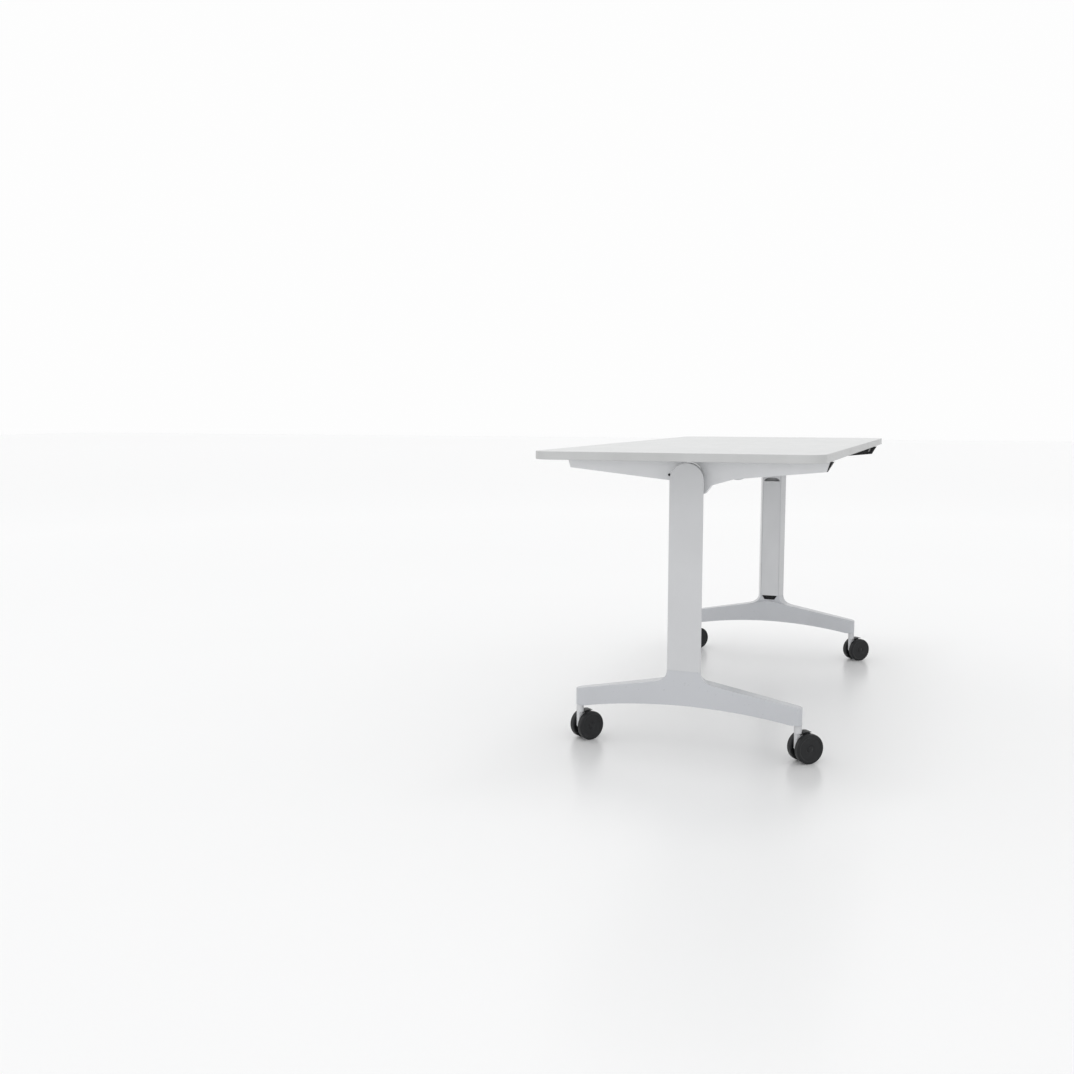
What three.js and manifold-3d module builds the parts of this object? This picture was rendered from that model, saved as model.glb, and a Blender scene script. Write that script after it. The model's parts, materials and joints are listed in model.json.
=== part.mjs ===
// Flip top training table: a worktop that turns up about two pivots on a wheeled frame.
// Millimetres, +Z up. X runs along the worktop, the user's side (with the release levers) is -Y,
// and the origin is on the floor under the middle of the worktop. The top is modelled lying flat.
import * as THREE from "three";
import { mergeVertices } from "three/addons/utils/BufferGeometryUtils.js";
import Module from "manifold-3d";

const wasm = await Module();
wasm.setup();

// Clearances
const GAP = 0.3; // between pieces that touch
const SWING_GAP = 2; // between pieces that swing past each other
const THROUGH = 1; // how far a cutter runs past the face that it opens

// Worktop
const TOP_LENGTH = 1600;
const TOP_WIDTH = 700;
const TOP_THICKNESS = 20;
const TOP_HEIGHT = 760;
const TOP_CORNER_RADIUS = 50;
const EDGE_BAND_THICKNESS = 2;

// Columns: a flat outer face, sides that draw in towards the inner face, a half-round head
const LEG_INSET = 160; // outer face of the column, in from the end of the worktop
const COLUMN_OUTER_WIDTH = 87;
const COLUMN_INNER_WIDTH = 65;
const COLUMN_DEPTH = 34;
const COLUMN_WALL = 3;
const COLUMN_BASE_WEB = 30; // solid foot of the column, which takes the tie bolt
const HEAD_CLEARANCE = 9.5; // between the half-round head and the worktop

// Column covers and cable ways
const COVER_LIP = 3.5; // edge of the column beside the cover
const COVER_THICKNESS = 2.7;
const COVER_TOP_DROP = 42; // below the head's centre
const CABLE_SLOT_WIDTH = 48;
const CABLE_SLOT_HEIGHT = 11;
const CABLE_SLOT_DROP = 33; // its flat lower edge, below the top of the cover
const CABLE_EXIT_WIDTH = 52; // lower cable exit, where it meets the column
const CABLE_EXIT_FLOOR_WIDTH = 34;
const CABLE_EXIT_HEIGHT = 14;
const CABLE_WAY_DEPTH = 11;

// Feet
const FOOT_LENGTH = 582;
const FOOT_END_WIDTH = 28;
const FOOT_MIDDLE_WIDTH = 42;
const FOOT_MIDDLE_LENGTH = 120; // stretch of full width under the column
const FOOT_CENTRE_INSET = 24; // castor line, in from the outer face of the column
const FOOT_END_DEPTH = 43;
const FOOT_HEIGHT = 115; // from its lowest point to the column
const FOOT_TOP_RISE = 0.185; // slope of the top of the foot towards the column
const FOOT_ARCH_RISE = 26; // underside at mid length, above the ends
const FOOT_PAD_LENGTH = 27; // flat underside at each end
const FOOT_FILLET = 34;

// Tie bolts that pull each column onto its foot
const TIE_BOLT_RADIUS = 4;
const TIE_BOLT_HEAD_RADIUS = 7;
const TIE_BOLT_HEAD_HEIGHT = 8;
const TIE_BOLT_HEAD_RECESS = 6; // head face, above the arch
const TIE_BOLT_INSET = 12.5; // axis, in from the outer face
const TIE_BOLT_ENGAGEMENT = 26; // reach into the column

// Castors
const WHEEL_RADIUS = 37.5;
const WHEEL_WIDTH = 16;
const WHEEL_EDGE = 3.5;
const WHEEL_SPACING = 16; // clear space between the two wheels
const WHEEL_BORE_DEPTH = 11;
const AXLE_RADIUS = 4;
const CASTOR_INSET = 10; // swivel axis, in from the end of the foot
const CASTOR_TRAIL = 22;
const CASTOR_YAWS = { // degrees, as rolled into place
  front_left: 42,
  front_right: 43,
  rear_left: 55,
  rear_right: 48,
};
const POST_RADIUS = 9.5;
const POST_BLADE_GAP = 2; // between the blade and each wheel
const POST_SHOULDER_DROP = 1; // round part of the post, below the top of the wheels
const POST_TOE_DROP = 10.5; // below the axle
const POST_NECK = 15.5; // post that shows between the hood and the foot
const AXLE_BOSS_RADIUS = 10;
const STEM_RADIUS = 5;
const STEM_LENGTH = 24;
const HOOD_CLEARANCE = 1.5; // from the tread to the hood
const HOOD_THICKNESS = 3;
const HOOD_WIDTH = 26;
const HOOD_POST_ANGLE = 48; // degrees from upright, on the post's side of the axle
const HOOD_TAIL_ANGLE = 14; // degrees from upright, on the trailing side

// Cross tube and the ring that carries the middle of the worktop
const TUBE_RADIUS = 22.5;
const TUBE_WALL = 2.5;
const RING_BELOW = 8.3; // rim under the hub
const RING_WIDTH = 18;
const RING_RIM = 6.5;
const RING_WEB = 6;
const RING_HUB_WALL = 4.5;

// Column necks, with the pivot lug and the ledge that the latch bolt drops onto
const NECK_STEP = 1.5; // inside the inner face of the column
const NECK_END_WALL = 4.2; // round the tube
const NECK_LENGTH = 50;
const NECK_STRAIGHT = 28;
const NECK_BORE_DEPTH = 19;
const SPIGOT_STEP = 4; // inside the inner face of the column
const SPIGOT_LENGTH = 24;
const LUG_THICKNESS = 15;
const LUG_RADIUS = 13;

// Flip pivot
const PIVOT_WALL = 10; // from the notch in the arm back to the pivot's axis
const PIVOT_DROP = 42; // below the underside of the worktop
const PIN_RADIUS = 5;
const PIN_HEAD_RADIUS = 6.5;
const PIN_HEAD_THICKNESS = 3;
const BUSH_WALL = 2;

// Arms under the worktop
const ARM_COLUMN_GAP = 3; // between the arm and the inner face of the column
const ARM_THICKNESS = 22;
const ARM_REAR_INSET = 27; // in from the rear edge of the worktop
const ARM_FRONT_INSET = 11; // in from the front edge of the worktop
const ARM_END_SLANT = 8;
const ARM_END_DEPTH = 28;
const ARM_REAR_ROOT_DEPTH = 54; // just behind the pivot
const ARM_REAR_ROOT = 14; // behind the pivot
const ARM_FRONT_KNEE_DEPTH = 50;
const ARM_FRONT_KNEE = 70; // in front of the notch
const ARM_LOBE_DEPTH = 66; // lobe in front of the notch
const ARM_LOBE = 11; // in front of the notch
const ARM_LOBE_TIP_DEPTH = 77;
const ARM_LOBE_TIP = 8; // thickness of the lobe at its tip
const NOTCH_CLEARANCE = 12; // round the neck
const NOTCH_RISE = 4; // notch centre, above the head's centre
const NOTCH_FRONT_LIP = 5; // the mouth is narrower than the notch by this much in front
const NOTCH_REAR_LIP = 4; // and by this much behind
const ARM_CHEEK = 2.7; // outer cheek beside the release lever

// Latch: a sprung bolt that slides along a line from the cross tube to the lever
const STUD_DROP = 11; // lever stud below the worktop
const BOLT_WIDTH = 9;
const BOLT_HEIGHT = 12;
const BOLT_LENGTH = 50;
const BOLT_ENGAGEMENT = 6; // over the ledge in the neck
const ROD_RADIUS = 2.5;
const ROD_EYE_LENGTH = 13;
const ROD_EYE_HEIGHT = 16;
const ROD_EYE_THICKNESS = 4;
const ROD_EYE_SLOT_WIDTH = 5.8;
const ROD_EYE_SLOT_HEIGHT = 11;
const GROOVE_DEPTH = 10;
const SPRING_TURNS = 8;
const SPRING_STEPS = 8; // steps in one turn
const SPRING_SIDES = 5;
const SPRING_WIRE_RADIUS = 0.6;
const SPRING_RADIUS = 3.8;
const SPRING_LENGTH = 34;
const LATCH_COVER_THICKNESS = 1.5;
const LATCH_COVER_LAP = 5;
const LATCH_COVER_START = 9; // in front of the notch

// Release levers
const LEVER_PIN_BACK = 77; // behind the front end of the arm
const LEVER_CRANK = 17; // from the pin up to the stud
const LEVER_PIN_RADIUS = 3;
const LEVER_PIN_HEAD_RADIUS = 5.5;
const LEVER_PIN_HEAD_THICKNESS = 2.9;
const LEVER_PIN_SEAT = 1.5; // reach of the pin into the cheek
const LEVER_STUD_RADIUS = 2.4;
const LEVER_TAIL = 8; // behind the pin
const LEVER_FRONT_THICKNESS = 16;
const LEVER_TAIL_THICKNESS = 10;
const LEVER_TOP_GAP = 3.5; // under the worktop
const LEVER_NOSE = 8; // in front of the arm
const LEVER_BAR_LENGTH = 86; // inboard of the lever's leg
const LEVER_BAR_HEIGHT = 15.5;
const LEVER_BAR_SETBACK = 6; // front of the bar, back from the arm's end
const LEVER_BAR_DEPTH = 17;

// Screws that hold the arms to the worktop
const SCREW_RADIUS = 2.5;
const SCREW_HEAD_RADIUS = 4.5;
const SCREW_HEAD_HEIGHT = 3.5;
const SCREW_BITE = 13; // into the board
const SCREW_SEAT = 8; // arm left above the screw head
const SCREW_INSET = 6.2; // from the arm's outer face
const REAR_SCREW_INSET = 143; // from the rear end of the arm
const FRONT_SCREW_INSET = 189; // from the front end of the arm

// Rest pads between the necks and the arms
const PAD_WIDTH = 10;
const PAD_HALF_ANGLE = 18; // degrees

// Roundness
const ROUND = 24; // sides of a full turn
const SMALL_ROUND = 12; // sides of pins, screws and bolts
const NOTCH_ROUND = 48;
const ARC = 6; // steps in a drawn arc or curve
const SMALL_ARC = 2;

// Places worked out from the sizes
const UNDERSIDE = TOP_HEIGHT - TOP_THICKNESS;
const LEG_OUTER_X = TOP_LENGTH / 2 - LEG_INSET;
const HEAD_DROP = COLUMN_OUTER_WIDTH / 2 + HEAD_CLEARANCE;
const HEAD_Z = UNDERSIDE - HEAD_DROP; // centre of the half-round head and of the cross tube
const COVER_WIDTH = COLUMN_INNER_WIDTH - 2 * COVER_LIP;
const COVER_TOP_Z = HEAD_Z - COVER_TOP_DROP;
const CABLE_SLOT_Z = COVER_TOP_Z - CABLE_SLOT_DROP;
const HOOD_TOP_Z = 2 * WHEEL_RADIUS + HOOD_CLEARANCE + HOOD_THICKNESS;
const FOOT_END_UNDER_Z = HOOD_TOP_Z + POST_NECK;
const FOOT_END_TOP_Z = FOOT_END_UNDER_Z + FOOT_END_DEPTH;
const FOOT_ARCH_Z = FOOT_END_UNDER_Z + FOOT_ARCH_RISE;
const COLUMN_BASE_Z = FOOT_END_UNDER_Z + FOOT_HEIGHT; // joint between foot and column
const POST_BLADE_THICKNESS = WHEEL_SPACING - 2 * POST_BLADE_GAP;
const POST_SHOULDER_Z = 2 * WHEEL_RADIUS - POST_SHOULDER_DROP;
const POST_TOE_Z = WHEEL_RADIUS - POST_TOE_DROP;
const RING_RADIUS = (HEAD_DROP + TUBE_RADIUS + RING_HUB_WALL + RING_BELOW - GAP) / 2;
const NECK_RADIUS = COLUMN_INNER_WIDTH / 2 - NECK_STEP;
const NECK_END_RADIUS = TUBE_RADIUS + GAP + NECK_END_WALL;
const SPIGOT_RADIUS = COLUMN_INNER_WIDTH / 2 - SPIGOT_STEP;
const NOTCH_RADIUS = NECK_RADIUS + NOTCH_CLEARANCE;
const NOTCH_FRONT_Y = NOTCH_RADIUS - NOTCH_FRONT_LIP;
const NOTCH_REAR_Y = NOTCH_RADIUS - NOTCH_REAR_LIP;
const PIVOT_BACK = NOTCH_RADIUS + PIVOT_WALL; // behind the column's centre line
const ARM_REAR_REACH = TOP_WIDTH / 2 - ARM_REAR_INSET;
const ARM_FRONT_REACH = TOP_WIDTH / 2 - ARM_FRONT_INSET;
const ARM_REAR_ROOT_Y = PIVOT_BACK + ARM_REAR_ROOT;
const ARM_FRONT_KNEE_Y = NOTCH_RADIUS + ARM_FRONT_KNEE;
const ARM_LOBE_Y = NOTCH_RADIUS + ARM_LOBE;
const ARM_LOBE_TIP_Y = NOTCH_FRONT_Y + ARM_LOBE_TIP;
const LEVER_PIN_Y = ARM_FRONT_REACH - LEVER_PIN_BACK; // in front of the column's centre line
const LATCH_RISE = HEAD_DROP - STUD_DROP;
const COLUMN_INNER_X = LEG_OUTER_X - COLUMN_DEPTH;
const FOOT_X = LEG_OUTER_X - FOOT_CENTRE_INSET;
const ARM_OUTER_X = COLUMN_INNER_X - ARM_COLUMN_GAP;
const ARM_INNER_X = ARM_OUTER_X - ARM_THICKNESS;
const NECK_END_X = COLUMN_INNER_X - NECK_LENGTH;
const PIVOT = new THREE.Vector2(PIVOT_BACK, UNDERSIDE - PIVOT_DROP);
const ARM_TOP_Z = UNDERSIDE - GAP;
const CASTOR_Y = FOOT_LENGTH / 2 - CASTOR_INSET;
const FOOT_END_Y = FOOT_LENGTH / 2 - FOOT_END_WIDTH / 2; // centre of the foot's rounded end
const GROOVE_X = ARM_INNER_X + GROOVE_DEPTH;
const LATCH_X = ARM_INNER_X + GROOVE_DEPTH / 2;
const STUD = new THREE.Vector2(-LEVER_PIN_Y, HEAD_Z + LATCH_RISE);
const LATCH_ANGLE = Math.atan2(LATCH_RISE, LEVER_PIN_Y);
const SCREW_PLACES = {
  rear: ARM_REAR_REACH - REAR_SCREW_INSET,
  front: FRONT_SCREW_INSET - ARM_FRONT_REACH,
};
const LEVER_TAIL_Y = -LEVER_PIN_Y + LEVER_TAIL;
const REBATE_Y = LEVER_TAIL_Y + SWING_GAP + SWING_GAP;
const BOLT_START = NECK_RADIUS - BOLT_ENGAGEMENT;
const BOLT_END = BOLT_START + BOLT_LENGTH;
const SPRING_START = BOLT_END + GAP;
const CHAMBER_END = SPRING_START + SPRING_LENGTH + GAP;

const degrees = THREE.MathUtils.degToRad;

// A closed geometry as a solid, facing out
function solid(geometry) {
  const bare = new THREE.BufferGeometry();
  bare.setAttribute("position", geometry.getAttribute("position").clone());
  if (geometry.index) bare.setIndex(geometry.index.clone());
  const merged = mergeVertices(bare, 1e-4);
  const corners = merged.index.array;
  const triangles = [];
  for (let i = 0; i < corners.length; i += 3) {
    const [a, b, c] = corners.slice(i, i + 3);
    if (a !== b && b !== c && c !== a) triangles.push(a, b, c);
  }
  const build = (triVerts) =>
    new wasm.Manifold(
      new wasm.Mesh({
        numProp: 3,
        vertProperties: merged.getAttribute("position").array,
        triVerts: new Uint32Array(triVerts),
      }),
    );
  const made = build(triangles);
  return made.volume() > 0 ? made : build(triangles.reverse());
}

// A solid as a geometry
function geometryOf(body) {
  const mesh = body.getMesh();
  const geometry = new THREE.BufferGeometry();
  geometry.setAttribute("position", new THREE.BufferAttribute(mesh.vertProperties, 3));
  geometry.setIndex(new THREE.BufferAttribute(mesh.triVerts, 1));
  const flat = geometry.toNonIndexed();
  flat.computeVertexNormals();
  return flat;
}

const joined = (first, ...rest) => rest.reduce((sum, next) => sum.add(next), first);
const cut = (body, ...cutters) => cutters.reduce((left, cutter) => left.subtract(cutter), body);

// Axis frames: the drawing plane's two axes, then the direction of the extrusion
const AXIS_FRAMES = {
  x: [new THREE.Vector3(0, 1, 0), new THREE.Vector3(0, 0, 1), new THREE.Vector3(1, 0, 0)],
  y: [new THREE.Vector3(0, 0, 1), new THREE.Vector3(1, 0, 0), new THREE.Vector3(0, 1, 0)],
  z: [new THREE.Vector3(1, 0, 0), new THREE.Vector3(0, 1, 0), new THREE.Vector3(0, 0, 1)],
};

// An outline drawn across an axis, carried along it from one place to another
function prism(axis, outline, from, to, steps = ARC) {
  const options = { depth: to - from, bevelEnabled: false, curveSegments: steps };
  const geometry = new THREE.ExtrudeGeometry(outline, options);
  geometry.translate(0, 0, from);
  geometry.applyMatrix4(new THREE.Matrix4().makeBasis(...AXIS_FRAMES[axis]));
  return solid(geometry);
}

// A profile of [radius, place] pairs turned about an axis through a centre in the drawing plane
function turned(axis, profile, centre, sides = ROUND) {
  const points = profile.map(([radius, place]) => new THREE.Vector2(radius, place));
  const geometry = new THREE.LatheGeometry(points, sides);
  geometry.rotateX(Math.PI / 2);
  geometry.translate(centre.x, centre.y, 0);
  geometry.applyMatrix4(new THREE.Matrix4().makeBasis(...AXIS_FRAMES[axis]));
  return solid(geometry);
}

// A plain round bar between two places on an axis
function bar(axis, radius, centre, from, to, sides = ROUND) {
  return turned(axis, [[0, from], [radius, from], [radius, to], [0, to]], centre, sides);
}

// A box from its lowest to its highest corner
function box(low, high) {
  const size = new THREE.Vector3(...high).sub(new THREE.Vector3(...low));
  const geometry = new THREE.BoxGeometry(size.x, size.y, size.z);
  geometry.translate(low[0] + size.x / 2, low[1] + size.y / 2, low[2] + size.z / 2);
  return solid(geometry);
}

// A closed outline through points
const outlineOf = (points) => new THREE.Shape(points.map(([a, b]) => new THREE.Vector2(a, b)));

// A solid between two outlines of as many points, at two places along X
function loft(outlineA, xA, outlineB, xB) {
  const ringA = outlineA.getPoints(ARC);
  const ringB = outlineB.getPoints(ARC);
  if (ringA[0].distanceTo(ringA[ringA.length - 1]) < GAP) {
    ringA.pop();
    ringB.pop();
  }
  const count = ringA.length;
  const positions = [];
  ringA.forEach((p) => positions.push(xA, p.x, p.y));
  ringB.forEach((p) => positions.push(xB, p.x, p.y));
  const index = [];
  for (const [a, b, c] of THREE.ShapeUtils.triangulateShape(ringA, [])) {
    index.push(a, c, b);
    index.push(count + a, count + b, count + c);
  }
  for (let i = 0; i < count; i += 1) {
    const j = (i + 1) % count;
    index.push(i, j, count + j, i, count + j, count + i);
  }
  const geometry = new THREE.BufferGeometry();
  geometry.setAttribute("position", new THREE.Float32BufferAttribute(positions, 3));
  geometry.setIndex(index);
  return solid(geometry);
}

// A strap: the outline that wraps two circles
function strapOutline(centreA, radiusA, centreB, radiusB) {
  const along = centreB.clone().sub(centreA);
  const lean = Math.acos((radiusA - radiusB) / along.length());
  const bearing = Math.atan2(along.y, along.x);
  const shape = new THREE.Shape();
  shape.absarc(centreB.x, centreB.y, radiusB, bearing - lean, bearing + lean, false);
  shape.absarc(centreA.x, centreA.y, radiusA, bearing + lean, bearing - lean + 2 * Math.PI, false);
  return shape;
}

// A rectangle with rounded corners, about the origin
function roundedRectangle(length, width, radius) {
  const x = length / 2 - radius;
  const y = width / 2 - radius;
  const shape = new THREE.Shape();
  shape.absarc(x, y, radius, 0, Math.PI / 2, false);
  shape.absarc(-x, y, radius, Math.PI / 2, Math.PI, false);
  shape.absarc(-x, -y, radius, Math.PI, 1.5 * Math.PI, false);
  shape.absarc(x, -y, radius, 1.5 * Math.PI, 2 * Math.PI, false);
  return shape;
}

// A bar of rectangular section along the latch line, from one distance of the tube's axis to another
function latchBlock(lowX, highX, below, above, from, to) {
  const block = new THREE.BoxGeometry(highX - lowX, to - from, below + above);
  block.translate((lowX + highX) / 2, -(from + to) / 2, (above - below) / 2);
  block.rotateX(-LATCH_ANGLE);
  block.translate(0, 0, HEAD_Z);
  return solid(block);
}

// Finishes
const finish = (color, roughness, metalness) =>
  new THREE.MeshStandardMaterial({ color, roughness, metalness });
const WHITE_BOARD = finish(0xf1f2f2, 0.45, 0);
const GREY_BAND = finish(0xb9bcbc, 0.5, 0);
const LIGHT_GREY_PAINT = finish(0xc5c7c9, 0.45, 0.1);
const FOOT_GREY_PAINT = finish(0xbabfc5, 0.45, 0.1);
const COVER_PLASTIC = finish(0xc1c3c4, 0.55, 0);
const BLACK_PLASTIC = finish(0x2d3032, 0.5, 0);
const GREY_RUBBER = finish(0xb4b6b8, 0.85, 0);
const STEEL = finish(0x9c9fa2, 0.35, 0.9);
const BRONZE = finish(0xa98a55, 0.4, 0.8);

const table = new THREE.Group();

// Adds a solid to a group as a named piece
function addPiece(group, name, body, material) {
  const mesh = new THREE.Mesh(geometryOf(body), material);
  mesh.name = name;
  group.add(mesh);
}

// Worktop
const boardOutline = (inset) =>
  roundedRectangle(TOP_LENGTH - 2 * inset, TOP_WIDTH - 2 * inset, TOP_CORNER_RADIUS - inset);

function worktopBoard() {
  const body = prism("z", boardOutline(EDGE_BAND_THICKNESS + GAP), UNDERSIDE, TOP_HEIGHT);
  const pilots = [];
  for (const y of Object.values(SCREW_PLACES)) {
    for (const side of [-1, 1]) {
      const centre = new THREE.Vector2(side * (ARM_OUTER_X - SCREW_INSET), y);
      const end = UNDERSIDE + SCREW_BITE + GAP;
      pilots.push(bar("z", SCREW_RADIUS + GAP, centre, UNDERSIDE - THROUGH, end));
    }
  }
  return cut(body, ...pilots);
}

function worktopEdgeBand() {
  const ring = boardOutline(0);
  ring.holes.push(boardOutline(EDGE_BAND_THICKNESS));
  return prism("z", ring, UNDERSIDE, TOP_HEIGHT);
}

// Column
function columnOutline(halfWidth, baseZ) {
  const shape = new THREE.Shape();
  shape.moveTo(-halfWidth, baseZ);
  shape.lineTo(halfWidth, baseZ);
  shape.absarc(0, HEAD_Z, halfWidth, 0, Math.PI, false);
  return shape;
}

const headCentre = new THREE.Vector2(0, HEAD_Z);

// The cable channel inside the column, up to the solid head
function channelOutline(halfWidth, baseZ) {
  return outlineOf([
    [-halfWidth, baseZ], [halfWidth, baseZ], [halfWidth, COVER_TOP_Z + GAP],
    [-halfWidth, COVER_TOP_Z + GAP],
  ]);
}

function column() {
  const outer = COLUMN_OUTER_WIDTH / 2;
  const inner = COLUMN_INNER_WIDTH / 2;
  const hollowBase = COLUMN_BASE_Z + COLUMN_BASE_WEB;
  const body = loft(
    columnOutline(inner, COLUMN_BASE_Z), COLUMN_INNER_X,
    columnOutline(outer, COLUMN_BASE_Z), LEG_OUTER_X,
  );
  const hollow = loft(
    channelOutline(inner - COLUMN_WALL, hollowBase), COLUMN_INNER_X + COLUMN_WALL,
    channelOutline(outer - COLUMN_WALL, hollowBase), LEG_OUTER_X - COLUMN_WALL,
  );
  const half = COVER_WIDTH / 2 + GAP;
  const doorway = box(
    [COLUMN_INNER_X - THROUGH, -half, COLUMN_BASE_Z - THROUGH],
    [COLUMN_INNER_X + COLUMN_WALL + THROUGH, half, COVER_TOP_Z + GAP],
  );
  const cableWay = box(
    [COLUMN_INNER_X - THROUGH, -half, COLUMN_BASE_Z - THROUGH],
    [COLUMN_INNER_X + CABLE_WAY_DEPTH, half, hollowBase + THROUGH],
  );
  const spigotHole = bar(
    "x", SPIGOT_RADIUS + GAP, headCentre,
    COLUMN_INNER_X - THROUGH, COLUMN_INNER_X + SPIGOT_LENGTH + GAP,
  );
  const boltHole = bar(
    "z", TIE_BOLT_RADIUS + GAP, new THREE.Vector2(LEG_OUTER_X - TIE_BOLT_INSET, 0),
    COLUMN_BASE_Z - THROUGH, hollowBase + THROUGH,
  );
  return cut(body, hollow, doorway, cableWay, spigotHole, boltHole);
}

function columnCover() {
  const half = COVER_WIDTH / 2;
  const body = box(
    [COLUMN_INNER_X, -half, COLUMN_BASE_Z],
    [COLUMN_INNER_X + COVER_THICKNESS, half, COVER_TOP_Z],
  );
  const slot = new THREE.Shape();
  slot.moveTo(-CABLE_SLOT_WIDTH / 2, CABLE_SLOT_Z);
  slot.lineTo(CABLE_SLOT_WIDTH / 2, CABLE_SLOT_Z);
  slot.quadraticCurveTo(0, CABLE_SLOT_Z + 2 * CABLE_SLOT_HEIGHT, -CABLE_SLOT_WIDTH / 2, CABLE_SLOT_Z);
  const slotCut = prism(
    "x", slot, COLUMN_INNER_X - THROUGH, COLUMN_INNER_X + COVER_THICKNESS + THROUGH,
  );
  return cut(body, slotCut);
}

// Foot
const footTopAt = (y) => FOOT_END_TOP_Z + FOOT_TOP_RISE * (FOOT_LENGTH / 2 - Math.abs(y));

function footSide() {
  const half = FOOT_LENGTH / 2;
  const arch = half - FOOT_PAD_LENGTH;
  const shape = new THREE.Shape();
  shape.moveTo(-half, FOOT_END_UNDER_Z);
  shape.lineTo(-arch, FOOT_END_UNDER_Z);
  shape.quadraticCurveTo(0, 2 * FOOT_ARCH_Z - FOOT_END_UNDER_Z, arch, FOOT_END_UNDER_Z);
  shape.lineTo(half, FOOT_END_UNDER_Z);
  shape.lineTo(half, FOOT_END_TOP_Z);
  shape.lineTo(0, footTopAt(0));
  shape.lineTo(-half, FOOT_END_TOP_Z);
  return shape;
}

function footPlan() {
  const end = FOOT_END_WIDTH / 2;
  const outer = LEG_OUTER_X;
  const inner = LEG_OUTER_X - FOOT_MIDDLE_WIDTH;
  const middle = FOOT_MIDDLE_LENGTH / 2;
  const shape = new THREE.Shape();
  shape.moveTo(outer, -middle);
  shape.lineTo(outer, middle);
  shape.absarc(FOOT_X, FOOT_END_Y, end, 0, Math.PI, false);
  shape.lineTo(inner, middle);
  shape.lineTo(inner, -middle);
  shape.absarc(FOOT_X, -FOOT_END_Y, end, Math.PI, 2 * Math.PI, false);
  return shape;
}

// The neck of the foot: the column's section, flaring into the top of the foot
function footNeckOutline(halfWidth) {
  const top = COLUMN_BASE_Z - GAP;
  const flare = halfWidth + FOOT_FILLET;
  const corner = footTopAt(halfWidth);
  const shape = new THREE.Shape();
  shape.moveTo(-flare, FOOT_ARCH_Z + GAP);
  shape.lineTo(flare, FOOT_ARCH_Z + GAP);
  shape.lineTo(flare, footTopAt(flare));
  shape.quadraticCurveTo(halfWidth, corner, halfWidth, Math.min(corner + FOOT_FILLET, top));
  shape.lineTo(halfWidth, top);
  shape.lineTo(-halfWidth, top);
  shape.lineTo(-halfWidth, Math.min(corner + FOOT_FILLET, top));
  shape.quadraticCurveTo(-halfWidth, corner, -flare, footTopAt(flare));
  return shape;
}

function foot() {
  const beam = prism("x", footSide(), LEG_OUTER_X - FOOT_MIDDLE_WIDTH, LEG_OUTER_X).intersect(
    prism("z", footPlan(), FOOT_END_UNDER_Z - THROUGH, COLUMN_BASE_Z),
  );
  const neck = loft(
    footNeckOutline(COLUMN_INNER_WIDTH / 2), COLUMN_INNER_X,
    footNeckOutline(COLUMN_OUTER_WIDTH / 2), LEG_OUTER_X,
  );
  const archClear = prism(
    "x", archOutline(), LEG_OUTER_X - FOOT_MIDDLE_WIDTH - THROUGH, LEG_OUTER_X + THROUGH,
  );
  const exitFloor = COLUMN_BASE_Z - CABLE_EXIT_HEIGHT;
  const cableExit = prism(
    "x",
    outlineOf([
      [-CABLE_EXIT_FLOOR_WIDTH / 2, exitFloor],
      [CABLE_EXIT_FLOOR_WIDTH / 2, exitFloor],
      [CABLE_EXIT_WIDTH / 2, COLUMN_BASE_Z + THROUGH],
      [-CABLE_EXIT_WIDTH / 2, COLUMN_BASE_Z + THROUGH],
    ]),
    LEG_OUTER_X - FOOT_MIDDLE_WIDTH - THROUGH, COLUMN_INNER_X + CABLE_WAY_DEPTH,
  );
  const boltCentre = new THREE.Vector2(LEG_OUTER_X - TIE_BOLT_INSET, 0);
  const boltHole = bar(
    "z", TIE_BOLT_RADIUS + GAP, boltCentre, FOOT_END_UNDER_Z, COLUMN_BASE_Z + THROUGH,
  );
  const headTop = FOOT_ARCH_Z + TIE_BOLT_HEAD_RECESS + TIE_BOLT_HEAD_HEIGHT + GAP;
  const headHole = bar("z", TIE_BOLT_HEAD_RADIUS + GAP, boltCentre, FOOT_END_UNDER_Z, headTop);
  const stemHoles = [-1, 1].map((end) =>
    bar(
      "z", STEM_RADIUS + GAP, new THREE.Vector2(FOOT_X, end * CASTOR_Y),
      FOOT_END_UNDER_Z - THROUGH, FOOT_END_UNDER_Z + STEM_LENGTH + GAP,
    ),
  );
  return cut(joined(beam, neck), archClear, cableExit, boltHole, headHole, ...stemHoles);
}

// The space under the arch of the foot
function archOutline() {
  const arch = FOOT_LENGTH / 2 - FOOT_PAD_LENGTH;
  const shape = new THREE.Shape();
  shape.moveTo(-arch, FOOT_END_UNDER_Z);
  shape.quadraticCurveTo(0, 2 * FOOT_ARCH_Z - FOOT_END_UNDER_Z, arch, FOOT_END_UNDER_Z);
  return shape;
}

function tieBolt() {
  const seat = FOOT_ARCH_Z + TIE_BOLT_HEAD_RECESS;
  const shoulder = seat + TIE_BOLT_HEAD_HEIGHT;
  const tip = COLUMN_BASE_Z + TIE_BOLT_ENGAGEMENT;
  const profile = [
    [0, seat], [TIE_BOLT_HEAD_RADIUS, seat], [TIE_BOLT_HEAD_RADIUS, shoulder],
    [TIE_BOLT_RADIUS, shoulder], [TIE_BOLT_RADIUS, tip], [0, tip],
  ];
  const centre = new THREE.Vector2(LEG_OUTER_X - TIE_BOLT_INSET, 0);
  return turned("z", profile, centre, SMALL_ROUND);
}

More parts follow.
